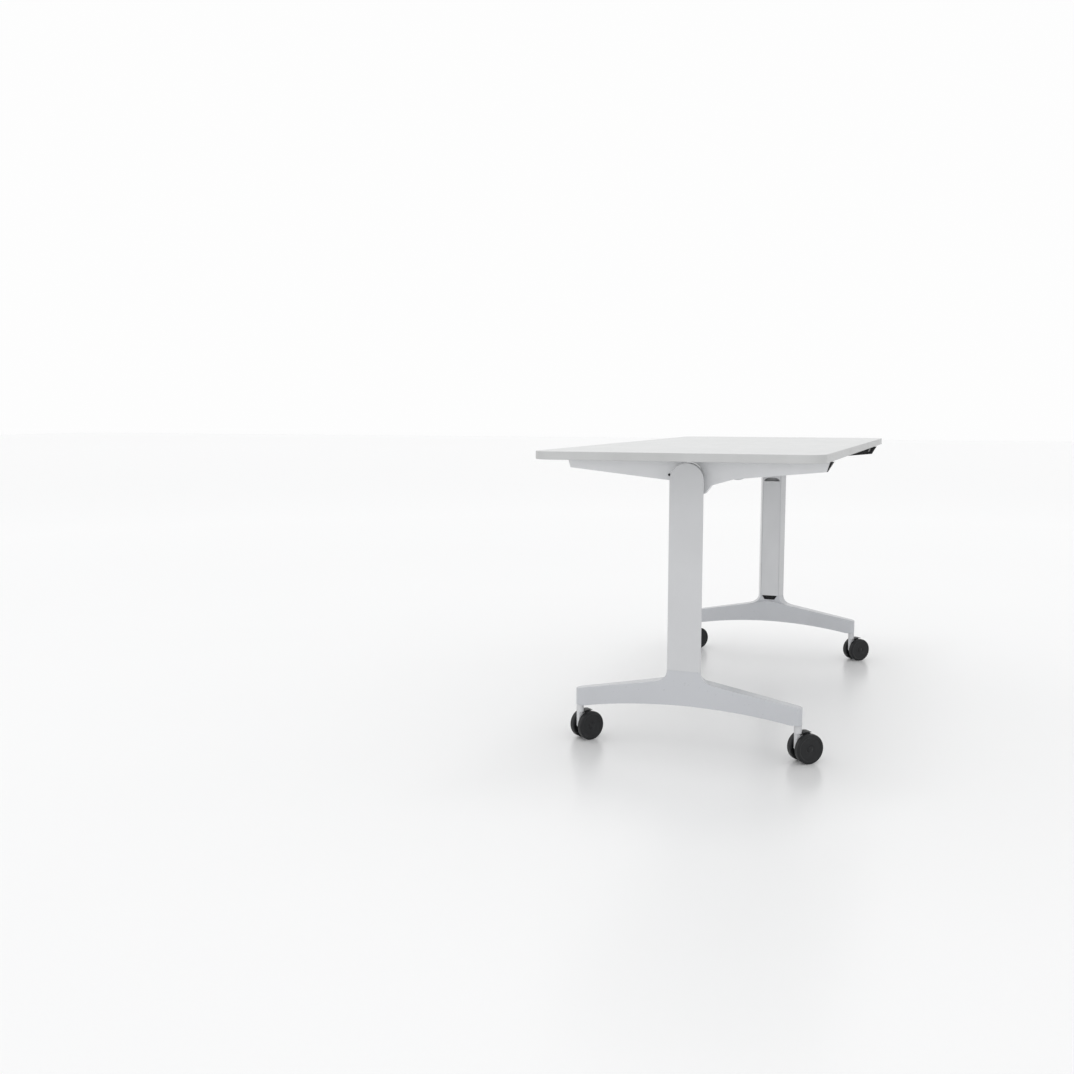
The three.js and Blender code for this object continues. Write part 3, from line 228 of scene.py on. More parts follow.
@dataclass
class Solid:
    """A closed mesh that is joined, cut and rounded before it becomes a piece.

    Sizes are handed in as millimetres and kept as metres.
    """

    mesh: bpy.types.Mesh

    @classmethod
    def of(cls, vertices: Iterable[Vector], faces: Iterable[Sequence[int]]) -> "Solid":
        """A solid from its vertices, in millimetres, and its faces."""
        mesh = bpy.data.meshes.new("solid")
        mesh.from_pydata([Vector(v) * MM for v in vertices], [], [tuple(f) for f in faces])
        made = cls(mesh)
        made._tidy(turn=True)
        return made

    @classmethod
    def stacked(cls, rings: Sequence[Sequence[Vector]], closed: bool = False) -> "Solid":
        """A skin over rings that have as many points each.

        Args:
            rings: The rings in order.
            closed: Whether the last ring joins the first, in place of two flat ends.

        Returns:
            The solid.
        """
        count = len(rings[0])
        faces: list[Sequence[int]] = []
        for k in range(len(rings) if closed else len(rings) - 1):
            low, high = k * count, ((k + 1) % len(rings)) * count
            for i in range(count):
                j = (i + 1) % count
                faces.append((low + i, low + j, high + j, high + i))
        if not closed:
            last = (len(rings) - 1) * count
            faces.append(tuple(reversed(range(count))))
            faces.append(tuple(range(last, last + count)))
        return cls.of([point for ring in rings for point in ring], faces)

    @classmethod
    def prism(cls, axis: Axis, outline: Sequence[Point], low: float, high: float) -> "Solid":
        """An outline carried along an axis from one place to another."""
        return cls.stacked([[axis.at(u, v, n) for u, v in outline] for n in (low, high)])

    @classmethod
    def turned(
        cls, axis: Axis, profile: Sequence[Point], centre: Point, sides: int = FINE
    ) -> "Solid":
        """A profile turned about an axis.

        Args:
            axis: Direction of the axis.
            profile: Pairs of radius and place along the axis. The first point comes again at the
                end where the profile is a closed loop.
            centre: Where the axis stands in the drawing plane.
            sides: Flats round the turn.

        Returns:
            The solid.
        """
        loop = tuple(profile[0]) == tuple(profile[-1])
        vertices: list[Vector] = []
        rings: list[list[int]] = []
        for radius, place in profile[:-1] if loop else profile:
            first = len(vertices)
            if radius < 1e-6:
                vertices.append(axis.at(centre[0], centre[1], place))
                rings.append([first] * sides)
                continue
            for u, v in arc(centre, radius, 0, 360, sides)[:-1]:
                vertices.append(axis.at(u, v, place))
            rings.append(list(range(first, first + sides)))
        if loop:
            rings.append(rings[0])
        faces = []
        for low, high in zip(rings, rings[1:]):
            for i in range(sides):
                j = (i + 1) % sides
                face = list(dict.fromkeys((low[i], low[j], high[j], high[i])))
                if len(face) > 2:
                    faces.append(face)
        return cls.of(vertices, faces)

    @classmethod
    def bar(
        cls, axis: Axis, radius: float, centre: Point, low: float, high: float, sides: int = FINE
    ) -> "Solid":
        """A plain round bar between two places on an axis."""
        return cls.prism(axis, arc(centre, radius, 0, 360, sides)[:-1], low, high)

    @classmethod
    def block(cls, low: Sequence[float], high: Sequence[float]) -> "Solid":
        """A block from its lowest corner to its highest."""
        outline = [(low[0], low[1]), (high[0], low[1]), (high[0], high[1]), (low[0], high[1])]
        return cls.prism(Axis.Z, outline, low[2], high[2])

    def _tidy(self, turn: bool = False) -> None:
        """Merges doubled points.

        Args:
            turn: Whether the faces are turned outwards as well.
        """
        work = bmesh.new()
        work.from_mesh(self.mesh)
        bmesh.ops.remove_doubles(work, verts=work.verts, dist=2e-6)
        bmesh.ops.dissolve_degenerate(work, edges=work.edges, dist=1e-6)
        if turn:
            bmesh.ops.recalc_face_normals(work, faces=work.faces)
        work.to_mesh(self.mesh)
        work.free()

    def _acted_on(self, other: "Solid", operation: Operation) -> "Solid":
        """This solid after another has been joined to it, cut from it or laid over it."""
        host, guest = scratch(self.mesh), scratch(other.mesh)
        change = host.modifiers.new("change", "BOOLEAN")
        change.solver = "EXACT"
        change.operation = operation.value
        change.object = guest
        result = Solid(settled(host))
        discard(host, guest)
        result._tidy()
        return result

    def join(self, *others: "Solid") -> "Solid":
        """This solid and others as one."""
        result = self
        for other in others:
            result = result._acted_on(other, Operation.JOIN)
        return result

    def cut(self, *others: "Solid") -> "Solid":
        """What is left of this solid when others are cut away."""
        result = self
        for other in others:
            result = result._acted_on(other, Operation.CUT)
        return result

    def keep(self, other: "Solid") -> "Solid":
        """What this solid has in common with another."""
        return self._acted_on(other, Operation.KEEP)

    def moved(self, place: Matrix) -> "Solid":
        """A copy in another place."""
        mesh = self.mesh.copy()
        mesh.transform(place)
        return Solid(mesh)

    def mirrored(self) -> "Solid":
        """A copy on the other side of the table."""
        mesh = self.mesh.copy()
        mesh.transform(Matrix.Scale(-1, 4, (1, 0, 0)))
        mesh.flip_normals()
        return Solid(mesh)

    def on(self, side: Side) -> "Solid":
        """This solid, drawn for the right-hand side, on the side that is asked for."""
        return self if side is Side.RIGHT else self.mirrored()

    def rounded(self, width: float, segments: int = 3, angle: float = 28.0) -> "Solid":
        """A copy with its sharp edges rounded, which notes where the rounding is.

        Args:
            width: Size of the rounding, in millimetres.
            segments: Flats across it.
            angle: Edges that turn by more than this many degrees are rounded.

        Returns:
            The rounded solid, with the crests of its edges in the wear attribute.
        """
        for share in (1.0, 0.6, 0.35):
            result = self._bevelled(width * share, segments, angle)
            if self._closed(result):
                break
        else:
            log.warning("an edge rounding of %.2f mm leaves gaps", width)
        return Solid(result)

    def _bevelled(self, width: float, segments: int, angle: float) -> bpy.types.Mesh:
        """A mesh with its sharp edges rounded by a width in millimetres."""
        mesh = self.mesh.copy()
        work = bmesh.new()
        work.from_mesh(mesh)
        bmesh.ops.remove_doubles(work, verts=work.verts, dist=2e-5)
        bmesh.ops.dissolve_limit(
            work, angle_limit=math.radians(0.4), verts=work.verts, edges=work.edges
        )
        work.to_mesh(mesh)
        work.free()
        mesh.materials.clear()
        mesh.materials.append(None)
        mesh.materials.append(None)
        helper = scratch(mesh)
        edges = helper.modifiers.new("edges", "BEVEL")
        edges.width = width * MM
        edges.segments = segments
        edges.limit_method = "ANGLE"
        edges.angle_limit = math.radians(angle)
        edges.use_clamp_overlap = False
        edges.material = 1
        result = settled(helper)
        discard(helper)
        self._note_wear(result)
        result.materials.clear()
        return result

    @staticmethod
    def _closed(mesh: bpy.types.Mesh) -> bool:
        """Whether every edge of a mesh lies between two faces."""
        work = bmesh.new()
        work.from_mesh(mesh)
        closed = all(edge.is_manifold for edge in work.edges)
        work.free()
        return closed

    @staticmethod
    def _note_wear(mesh: bpy.types.Mesh) -> None:
        """Writes 1 on the crests of rounded edges and 0 elsewhere, then drops the face marks."""
        crest = [1.0] * len(mesh.vertices)
        for face in mesh.polygons:
            if face.material_index == 0:
                for vertex in face.vertices:
                    crest[vertex] = 0.0
            face.material_index = 0
        layer = mesh.attributes.get(WEAR) or mesh.attributes.new(WEAR, "FLOAT", "POINT")
        layer.data.foreach_set("value", crest)

    def shaded(self, angle: float = 38.0) -> bpy.types.Mesh:
        """A mesh that shades smoothly except over edges sharper than an angle."""
        mesh = self.mesh.copy()
        work = bmesh.new()
        work.from_mesh(mesh)
        bmesh.ops.remove_doubles(work, verts=work.verts, dist=5e-6)
        bmesh.ops.dissolve_degenerate(work, dist=5e-6, edges=work.edges)
        work.to_mesh(mesh)
        work.free()
        mesh.polygons.foreach_set("use_smooth", [True] * len(mesh.polygons))
        mesh.set_sharp_from_angle(angle=math.radians(angle))
        helper = scratch(mesh)
        even = helper.modifiers.new("even", "WEIGHTED_NORMAL")
        even.keep_sharp = True
        even.weight = 60
        result = settled(helper)
        discard(helper)
        return result


def together(*solids: Solid) -> Solid:
    """Solids in one mesh, without being joined."""
    work = bmesh.new()
    for solid in solids:
        work.from_mesh(solid.mesh)
    mesh = bpy.data.meshes.new("together")
    work.to_mesh(mesh)
    work.free()
    return Solid(mesh)


# Finishes


def paint(red: int, green: int, blue: int) -> Colour:
    """A colour as seen on a screen, for a shader."""
    def straight(level: int) -> float:
        """One channel without its screen curve."""
        share = level / 255
        return share / 12.92 if share <= 0.04045 else ((share + 0.055) / 1.055) ** 2.4

    return straight(red), straight(green), straight(blue)


class Recipe:
    """A node material on one Principled shader, with patterns on Object coordinates."""

    def __init__(self, name: str) -> None:
        """Starts a bare material.

        Args:
            name: Name of the material.
        """
        self.material = bpy.data.materials.new(name)
        self.material.use_nodes = True
        self.tree = self.material.node_tree
        self.tree.nodes.clear()
        self.shader = self.tree.nodes.new("ShaderNodeBsdfPrincipled")
        output = self.tree.nodes.new("ShaderNodeOutputMaterial")
        self.tree.links.new(self.shader.outputs["BSDF"], output.inputs["Surface"])
        self.place = self.tree.nodes.new("ShaderNodeTexCoord").outputs["Object"]

    def link(self, source: bpy.types.NodeSocket, target: bpy.types.NodeSocket) -> None:
        """Joins two sockets."""
        self.tree.links.new(source, target)

    def stretched(self, scale: Sequence[float]) -> bpy.types.NodeSocket:
        """Object coordinates stretched along the axes."""
        node = self.tree.nodes.new("ShaderNodeMapping")
        node.inputs["Scale"].default_value = scale
        self.link(self.place, node.inputs["Vector"])
        return node.outputs["Vector"]

    def noise(
        self, per_metre: float, detail: float = 3.0, where: bpy.types.NodeSocket | None = None
    ) -> bpy.types.NodeSocket:
        """A cloudy pattern.

        Args:
            per_metre: How many blotches there are to a metre.
            detail: Octaves of finer blotches.
            where: Coordinates to read, or None for plain Object coordinates.

        Returns:
            The pattern, from 0 to 1.
        """
        node = self.tree.nodes.new("ShaderNodeTexNoise")
        node.inputs["Scale"].default_value = per_metre
        node.inputs["Detail"].default_value = detail
        self.link(where or self.place, node.inputs["Vector"])
        return node.outputs["Fac"]

    def cells(self, per_metre: float) -> bpy.types.NodeSocket:
        """A pebbled pattern, as of a spark-eroded mould."""
        node = self.tree.nodes.new("ShaderNodeTexVoronoi")
        node.feature = "SMOOTH_F1"
        node.inputs["Scale"].default_value = per_metre
        self.link(self.place, node.inputs["Vector"])
        return node.outputs["Distance"]

    def reach(self) -> bpy.types.NodeSocket:
        """Distance from the origin, in metres."""
        node = self.tree.nodes.new("ShaderNodeVectorMath")
        node.operation = "LENGTH"
        self.link(self.place, node.inputs[0])
        return node.outputs["Value"]

    def span(
        self, source: bpy.types.NodeSocket, low: float, high: float,
        start: float = 0.3, end: float = 0.7,
    ) -> bpy.types.NodeSocket:
        """A pattern brought to a range.

        Args:
            source: The pattern.
            low: Value where the pattern is at its start.
            high: Value where it is at its end.
            start: Pattern value that gives low.
            end: Pattern value that gives high.

        Returns:
            The new value.
        """
        node = self.tree.nodes.new("ShaderNodeMapRange")
        node.inputs["From Min"].default_value = start
        node.inputs["From Max"].default_value = end
        node.inputs["To Min"].default_value = low
        node.inputs["To Max"].default_value = high
        self.link(source, node.inputs["Value"])
        return node.outputs["Result"]

    def blend(
        self, share: bpy.types.NodeSocket, first: Colour | bpy.types.NodeSocket, second: Colour
    ) -> bpy.types.NodeSocket:
        """A colour between two others.

        Args:
            share: How much of the second colour there is.
            first: Colour, or the socket of one.
            second: Colour.

        Returns:
            The mixed colour.
        """
        node = self.tree.nodes.new("ShaderNodeMix")
        node.data_type = "RGBA"
        self.link(share, node.inputs[0])
        if isinstance(first, bpy.types.NodeSocket):
            self.link(first, node.inputs[6])
        else:
            node.inputs[6].default_value = (*first, 1.0)
        node.inputs[7].default_value = (*second, 1.0)
        return node.outputs[2]

    def sum(
        self, first: bpy.types.NodeSocket, second: bpy.types.NodeSocket, operation: str = "ADD"
    ) -> bpy.types.NodeSocket:
        """Two values worked together."""
        node = self.tree.nodes.new("ShaderNodeMath")
        node.operation = operation
        self.link(first, node.inputs[0])
        self.link(second, node.inputs[1])
        return node.outputs[0]

    def wear(self, amount: float) -> bpy.types.NodeSocket:
        """Broken wear along the crests of the edges.

        Args:
            amount: The most that it may reach, from 0 to 1.

        Returns:
            How worn the surface is.
        """
        node = self.tree.nodes.new("ShaderNodeAttribute")
        node.attribute_name = WEAR
        broken = self.span(self.noise(55, 4), 0.0, amount, 0.42, 0.62)
        return self.sum(node.outputs["Fac"], broken, "MULTIPLY")

    def relief(self, height: bpy.types.NodeSocket, millimetres: float, strength: float) -> None:
        """Raises the surface by a pattern.

        Args:
            height: The pattern.
            millimetres: How tall it is.
            strength: How strongly it shows.
        """
        node = self.tree.nodes.new("ShaderNodeBump")
        node.inputs["Distance"].default_value = millimetres * MM
        node.inputs["Strength"].default_value = strength
        self.link(height, node.inputs["Height"])
        self.link(node.outputs["Normal"], self.shader.inputs["Normal"])


@dataclass(frozen=True)
class Laminate:
    """Melamine-faced board: a white face, a little darker on its underside."""

    name: str
    face: Colour
    backing: Colour
    underside: float  # millimetres above the floor

    def make(self) -> bpy.types.Material:
        """The material, with a fine pearl grain and faint clouding."""
        recipe = Recipe(self.name)
        deeper = tuple(c * 0.965 for c in self.face)
        cloud = recipe.span(recipe.noise(3.2, 4), 0.0, 1.0)
        face = recipe.blend(cloud, self.face, deeper)
        split = recipe.tree.nodes.new("ShaderNodeSeparateXYZ")
        recipe.link(recipe.place, split.inputs[0])
        # faces below the underside height take the slightly darker underside colour
        edge = (self.underside + 0.5) * MM
        below = recipe.span(split.outputs["Z"], 1.0, 0.0, edge, edge + 0.2 * MM)
        recipe.link(
            recipe.blend(below, face, self.backing), recipe.shader.inputs["Base Color"]
        )
        recipe.link(
            recipe.span(recipe.noise(26, 3), 0.36, 0.46), recipe.shader.inputs["Roughness"]
        )
        recipe.relief(recipe.noise(1900, 2), 0.05, 0.10)
        return recipe.material


@dataclass(frozen=True)
class PowderCoat:
    """Satin powder coat, thinner and lighter on the crests of its edges."""

    name: str
    colour: Colour
    roughness: float

    def make(self) -> bpy.types.Material:
        """The material, with orange peel and broken edge wear."""
        recipe = Recipe(self.name)
        deeper = tuple(c * 0.95 for c in self.colour)
        pale = tuple(min(1.0, c * 1.14 + 0.02) for c in self.colour)
        cloud = recipe.span(recipe.noise(7, 4), 0.0, 1.0)
        base = recipe.blend(cloud, self.colour, deeper)
        recipe.link(
            recipe.blend(recipe.wear(0.8), base, pale), recipe.shader.inputs["Base Color"]
        )
        recipe.link(
            recipe.span(recipe.noise(90, 3), self.roughness - 0.05, self.roughness + 0.06),
            recipe.shader.inputs["Roughness"],
        )
        recipe.shader.inputs["Coat Weight"].default_value = 0.5
        recipe.shader.inputs["Coat Roughness"].default_value = 0.18
        recipe.relief(recipe.noise(620, 2), 0.08, 0.14)
        return recipe.material


@dataclass(frozen=True)
class Moulding:
    """Moulded plastic with the pebbled grain of its mould."""

    name: str
    colour: Colour
    roughness: float
    scuff: float  # how far worn edges turn pale
    shine: float = 0.5

    def make(self) -> bpy.types.Material:
        """The material, with mould grain, faint flow marks and scuffed edges."""
        recipe = Recipe(self.name)
        recipe.shader.inputs["Specular IOR Level"].default_value = self.shine
        deeper = tuple(c * 0.9 for c in self.colour)
        pale = tuple(c + (0.55 - c) * self.scuff for c in self.colour)
        flow = recipe.span(recipe.noise(9, 3, recipe.stretched((1, 1, 0.35))), 0.0, 1.0)
        base = recipe.blend(flow, self.colour, deeper)
        recipe.link(
            recipe.blend(recipe.wear(0.9), base, pale), recipe.shader.inputs["Base Color"]
        )
        recipe.link(
            recipe.span(recipe.noise(140, 3), self.roughness - 0.06, self.roughness + 0.07),
            recipe.shader.inputs["Roughness"],
        )
        recipe.relief(recipe.cells(1300), 0.06, 0.22)
        return recipe.material


@dataclass(frozen=True)
class Rubber:
    """Dull light grey rubber."""

    name: str
    colour: Colour

    def make(self) -> bpy.types.Material:
        """The material, with a dusty bloom and a fine pebble."""
        recipe = Recipe(self.name)
        bloom = tuple(c * 0.86 for c in self.colour)
        dust = recipe.span(recipe.noise(60, 5), 0.0, 0.7)
        recipe.link(recipe.blend(dust, self.colour, bloom), recipe.shader.inputs["Base Color"])
        recipe.link(
            recipe.span(recipe.noise(200, 2), 0.75, 0.9), recipe.shader.inputs["Roughness"]
        )
        recipe.relief(recipe.cells(900), 0.08, 0.3)
        return recipe.material


@dataclass(frozen=True)
class Metal:
    """Bare or plated metal, brushed or turned along one axis."""

    name: str
    colour: Colour
    roughness: float
    streaks: tuple[float, float, float]  # how closely the marks lie along each axis

    def make(self) -> bpy.types.Material:
        """The material, with fine tool marks and dulled patches."""
        recipe = Recipe(self.name)
        dull = tuple(c * 0.8 for c in self.colour)
        patch = recipe.span(recipe.noise(45, 5), 0.0, 1.0)
        recipe.link(recipe.blend(patch, self.colour, dull), recipe.shader.inputs["Base Color"])
        recipe.shader.inputs["Metallic"].default_value = 1.0
        marks = recipe.noise(400, 2, recipe.stretched(self.streaks))
        recipe.link(
            recipe.span(marks, self.roughness - 0.08, self.roughness + 0.1),
            recipe.shader.inputs["Roughness"],
        )
        recipe.relief(marks, 0.02, 0.12)
        return recipe.material


class Finishes:
    """Every material of the table by the record's slot, and a lighter frame paint as painted light."""

    def __init__(self, underside: float) -> None:
        """Makes the materials.

        Args:
            underside: Height of the worktop's underside, in millimetres.
        """
        recipes = {
            "worktop": Laminate(
                "white_laminate", paint(205, 206, 206), paint(202, 203, 202), underside
            ),
            "edge_band": Moulding("grey_edge_band", paint(187, 188, 188), 0.42, 0.15),
            "frame_paint": PowderCoat("light_grey_coat", paint(194, 195, 197), 0.34),
            # painted light: the same paint as frame_paint, made lighter to lift the arms, tube, neck and latch
            # plates out of their shade
            "painted_light_coat": PowderCoat("pale_grey_coat", paint(211, 212, 214), 0.34),
            "foot_paint": PowderCoat("cool_grey_coat", paint(186, 188, 192), 0.32),
            "grey_plastic": Moulding("light_grey_moulding", paint(201, 202, 204), 0.45, 0.2),
            "black_plastic": Moulding("black_moulding", paint(26, 27, 29), 0.4, 0.1, 0.32),
            "black_metal": Metal("black_oxide", paint(58, 59, 61), 0.42, (1, 0.2, 1)),
            "rubber": Rubber("grey_rubber", paint(197, 198, 200)),
            "steel": Metal("zinc_plate", paint(196, 199, 202), 0.3, (1, 0.15, 1)),
            "bronze": Metal("bearing_bronze", paint(190, 152, 92), 0.34, (0.2, 1, 1)),
        }
        self.materials = {slot: recipe.make() for slot, recipe in recipes.items()}

    def of(self, slot: str) -> bpy.types.Material:
        """The material of a slot, or of a coat."""
        return self.materials[slot]

    def dress_solids(self) -> None:
        """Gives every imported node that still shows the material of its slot."""
        for entry in frame["record"]["subparts"]:
            node = frame["nodes"][entry["node"]]
            node.data.materials.clear()
            node.data.materials.append(self.of(entry["material_slot"]))


# Repeats and paths


class Tree:
    """A Geometry Nodes tree with named inputs."""

    def __init__(self, name: str) -> None:
        """Starts a tree that takes and gives geometry.

        Args:
            name: Name of the tree.
        """
        self.group = bpy.data.node_groups.new(name, "GeometryNodeTree")
        face = self.group.interface
        face.new_socket("Geometry", in_out="INPUT", socket_type="NodeSocketGeometry")
        face.new_socket("Geometry", in_out="OUTPUT", socket_type="NodeSocketGeometry")
        self.entry = self.group.nodes.new("NodeGroupInput")
        self.exit = self.group.nodes.new("NodeGroupOutput")

    def size(self, name: str, whole: bool = False) -> bpy.types.NodeSocket:
        """A named input of the tree, a length in metres or a whole number."""
        kind = "NodeSocketInt" if whole else "NodeSocketFloat"
        self.group.interface.new_socket(name, in_out="INPUT", socket_type=kind)
        return self.entry.outputs[name]

    def add(self, kind: str, inputs: dict | None = None, **settings: str) -> bpy.types.Node:
        """A node of the tree.

        Args:
            kind: The node's type.
            inputs: Sockets to join or values to set, by the input's name or number.
            settings: Properties of the node itself.

        Returns:
            The node.
        """
        node = self.group.nodes.new(kind)
        for name, value in settings.items():
            setattr(node, name, value)
        for name, value in (inputs or {}).items():
            if isinstance(value, bpy.types.NodeSocket):
                self.group.links.new(value, node.inputs[name])
            else:
                node.inputs[name].default_value = value
        return node

    def end(self, shape: bpy.types.NodeSocket, material: bpy.types.Material) -> None:
        """Ends the tree in plain geometry of one material."""
        smooth = self.add("GeometryNodeSetShadeSmooth", {"Geometry": shape, "Shade Smooth": False})
        real = self.add("GeometryNodeRealizeInstances", {"Geometry": smooth.outputs[0]})
        dressed = self.add(
            "GeometryNodeSetMaterial", {"Geometry": real.outputs[0], "Material": material}
        )
        self.group.links.new(dressed.outputs[0], self.exit.inputs[0])

    def grown(self, points: Sequence[Vector], sizes: dict[str, float]) -> bpy.types.Mesh:
        """The mesh that the tree makes.

        Args:
            points: Vertices that the tree starts from, in metres.
            sizes: Values of its inputs, by name.

        Returns:
            A plain mesh.
        """
        seed = bpy.data.meshes.new("seed")
        seed.from_pydata([tuple(p) for p in points], [], [])
        helper = scratch(seed)
        change = helper.modifiers.new("grow", "NODES")
        change.node_group = self.group
        for item in self.group.interface.items_tree:
            if item.item_type == "SOCKET" and item.in_out == "INPUT" and item.name in sizes:
                change[item.identifier] = sizes[item.name]
        result = settled(helper)
        discard(helper)
        return result


class SpringTree(Tree):
    """A wire wound in a helix."""

    def __init__(self, material: bpy.types.Material) -> None:
        """Builds the tree.

        Args:
            material: Finish of the wire.
        """
        super().__init__("wound_spring")
        coil = self.add("GeometryNodeCurveSpiral", {
            "Resolution": 28, "Rotations": self.size("Turns"),
            "Start Radius": self.size("Radius"), "End Radius": self.entry.outputs["Radius"],
            "Height": self.size("Length"),
        })
        wire = self.add(
            "GeometryNodeCurvePrimitiveCircle",
            {"Resolution": 10, "Radius": self.size("Wire Radius")},
        )
        swept = self.add("GeometryNodeCurveToMesh", {
            "Curve": coil.outputs[0], "Profile Curve": wire.outputs[0], "Fill Caps": True,
        })
        self.end(swept.outputs[0], material)


class ScrewTree(Tree):
    """Socket screws on points, with their heads towards -Z."""

    def __init__(self, material: bpy.types.Material) -> None:
        """Builds the tree.

        Args:
            material: Finish of the screws.
        """
        super().__init__("socket_screws")
        radius, height = self.size("Head Radius"), self.size("Head Height")
        head = self.add("GeometryNodeMeshCylinder", {
            "Vertices": 28, "Radius": radius, "Depth": height,
        })
        key = self.add("GeometryNodeMeshCylinder", {
            "Vertices": 6, "Radius": self.size("Key Radius"), "Depth": height,
        })
        drop = self.add("ShaderNodeMath", {0: height, 1: -0.45}, operation="MULTIPLY")
        at_face = self.add("ShaderNodeCombineXYZ", {"Z": drop.outputs[0]})
        sunk = self.add("GeometryNodeTransform", {
            "Geometry": key.outputs[0], "Translation": at_face.outputs[0],
        })
        socket = self.add(
            "GeometryNodeMeshBoolean", {"Mesh 1": head.outputs[0]}, operation="DIFFERENCE"
        )
        self.group.links.new(sunk.outputs[0], socket.inputs["Mesh 2"])
        length = self.size("Shank Length")
        shank = self.add("GeometryNodeMeshCylinder", {
            "Vertices": 20, "Radius": self.size("Shank Radius"), "Depth": length,
        })
        both = self.add("ShaderNodeMath", {0: length, 1: height}, operation="ADD")
        half = self.add("ShaderNodeMath", {0: both.outputs[0], 1: 0.5}, operation="MULTIPLY")
        up = self.add("ShaderNodeCombineXYZ", {"Z": half.outputs[0]})
        raised = self.add("GeometryNodeTransform", {
            "Geometry": shank.outputs[0], "Translation": up.outputs[0],
        })
        screw = self.add("GeometryNodeJoinGeometry")
        self.group.links.new(socket.outputs[0], screw.inputs[0])
        self.group.links.new(raised.outputs[0], screw.inputs[0])
        spread = self.add("GeometryNodeInstanceOnPoints", {
            "Points": self.entry.outputs[0], "Instance": screw.outputs[0],
        })
        self.end(spread.outputs[0], material)


class RibTree(Tree):
    """Ribs that stand round a wheel's dish like spokes, about Z."""

    def __init__(self, material: bpy.types.Material) -> None:
        """Builds the tree.

        Args:
            material: Finish of the ribs.
        """
        super().__init__("wheel_ribs")
        ring = self.add("GeometryNodeMeshCircle", {
            "Vertices": self.size("Count", whole=True), "Radius": self.size("Middle Radius"),
        })
        shape = self.add("ShaderNodeCombineXYZ", {
            "X": self.size("Length"), "Y": self.size("Thickness"), "Z": self.size("Height"),
        })
        rib = self.add("GeometryNodeMeshCube", {
            "Size": shape.outputs[0], "Vertices X": 3, "Vertices Y": 2, "Vertices Z": 2,
        })
        place = self.add("GeometryNodeInputPosition")
        facing = self.add("FunctionNodeAlignRotationToVector", {
            "Vector": place.outputs[0],
        }, axis="X", pivot_axis="Z")
        spread = self.add("GeometryNodeInstanceOnPoints", {
            "Points": ring.outputs[0], "Instance": rib.outputs[0], "Rotation": facing.outputs[0],
        })
        self.end(spread.outputs[0], material)


# Pieces


@dataclass
class Workshop:
    """Turns meshes into pieces of the table."""

    finishes: Finishes
    made: int = 0

    def piece(
        self, name: str, mesh: bpy.types.Mesh, slot: str, body: str,
        nodes: Sequence[str] = (), coat: str = "",
    ) -> bpy.types.Object:
        """Puts a mesh on the table.

        Args:
            name: Name of the piece.
            mesh: Its mesh, in place.
            slot: Material slot of the record.
            body: Body that it moves with.
            nodes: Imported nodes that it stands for.
            coat: Coat to wear in place of the slot's own material.

        Returns:
            The piece.
        """
        mesh.name = name
        mesh.materials.clear()
        mesh.materials.append(self.finishes.of(coat or slot))
        item = bpy.data.objects.new(name, mesh)
        bpy.context.scene.collection.objects.link(item)
        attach(item, body)
        if nodes:
            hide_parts(*nodes)
        self.made += 1
        log.info("%s on %s, %d faces", name, body, len(mesh.polygons))
        return item


@dataclass
class Worktop:
    """The board and the band round its edge."""

    length: float = 1600.0
    width: float = 700.0
    thickness: float = 20.0
    height: float = 760.0
    corner: float = 50.0
    band: float = 2.0
    band_edge: float = 1.6

    @property
    def underside(self) -> float:
        """Height of the underside."""
        return self.height - self.thickness

    def _ring(self, inset: float, height: float) -> list[Vector]:
        """The worktop's outline, drawn in by an inset, at a height."""
        outline = rounded_rectangle(
            self.length - 2 * inset, self.width - 2 * inset, self.corner - inset, 20
        )
        return [Vector((x, y, height)) for x, y in outline]

    def board(self) -> Solid:
        """The board, with the faintest break on its edges."""
        low, high, brk = self.underside, self.height, 0.08
        rings = [
            self._ring(self.band + brk, low), self._ring(self.band, low + brk),
            self._ring(self.band, high - brk), self._ring(self.band + brk, high),
        ]
        return Solid.stacked(rings)

    def edge_band(self) -> Solid:
        """The band, with round arrises on its outer side."""
        r = self.band_edge
        low, high = self.underside, self.height
        outer = [(r - p, high - r + q) for p, q in arc((0, 0), r, 90, 0, 5)]
        lower = [(r - p, low + r + q) for p, q in arc((0, 0), r, 0, -90, 5)]
        section = [(self.band, high), *outer, *lower, (self.band, low)]
        return Solid.stacked([self._ring(inset, z) for inset, z in section], closed=True)

    def build(self, shop: Workshop) -> None:
        """Makes the pieces.

        Args:
            shop: Where pieces are made.
        """
        shop.piece("worktop_face", self.board().shaded(20), "worktop", "top", ["worktop_board"])
        shop.piece(
            "worktop_band", self.edge_band().shaded(40), "edge_band", "top", ["worktop_edge_band"]
        )


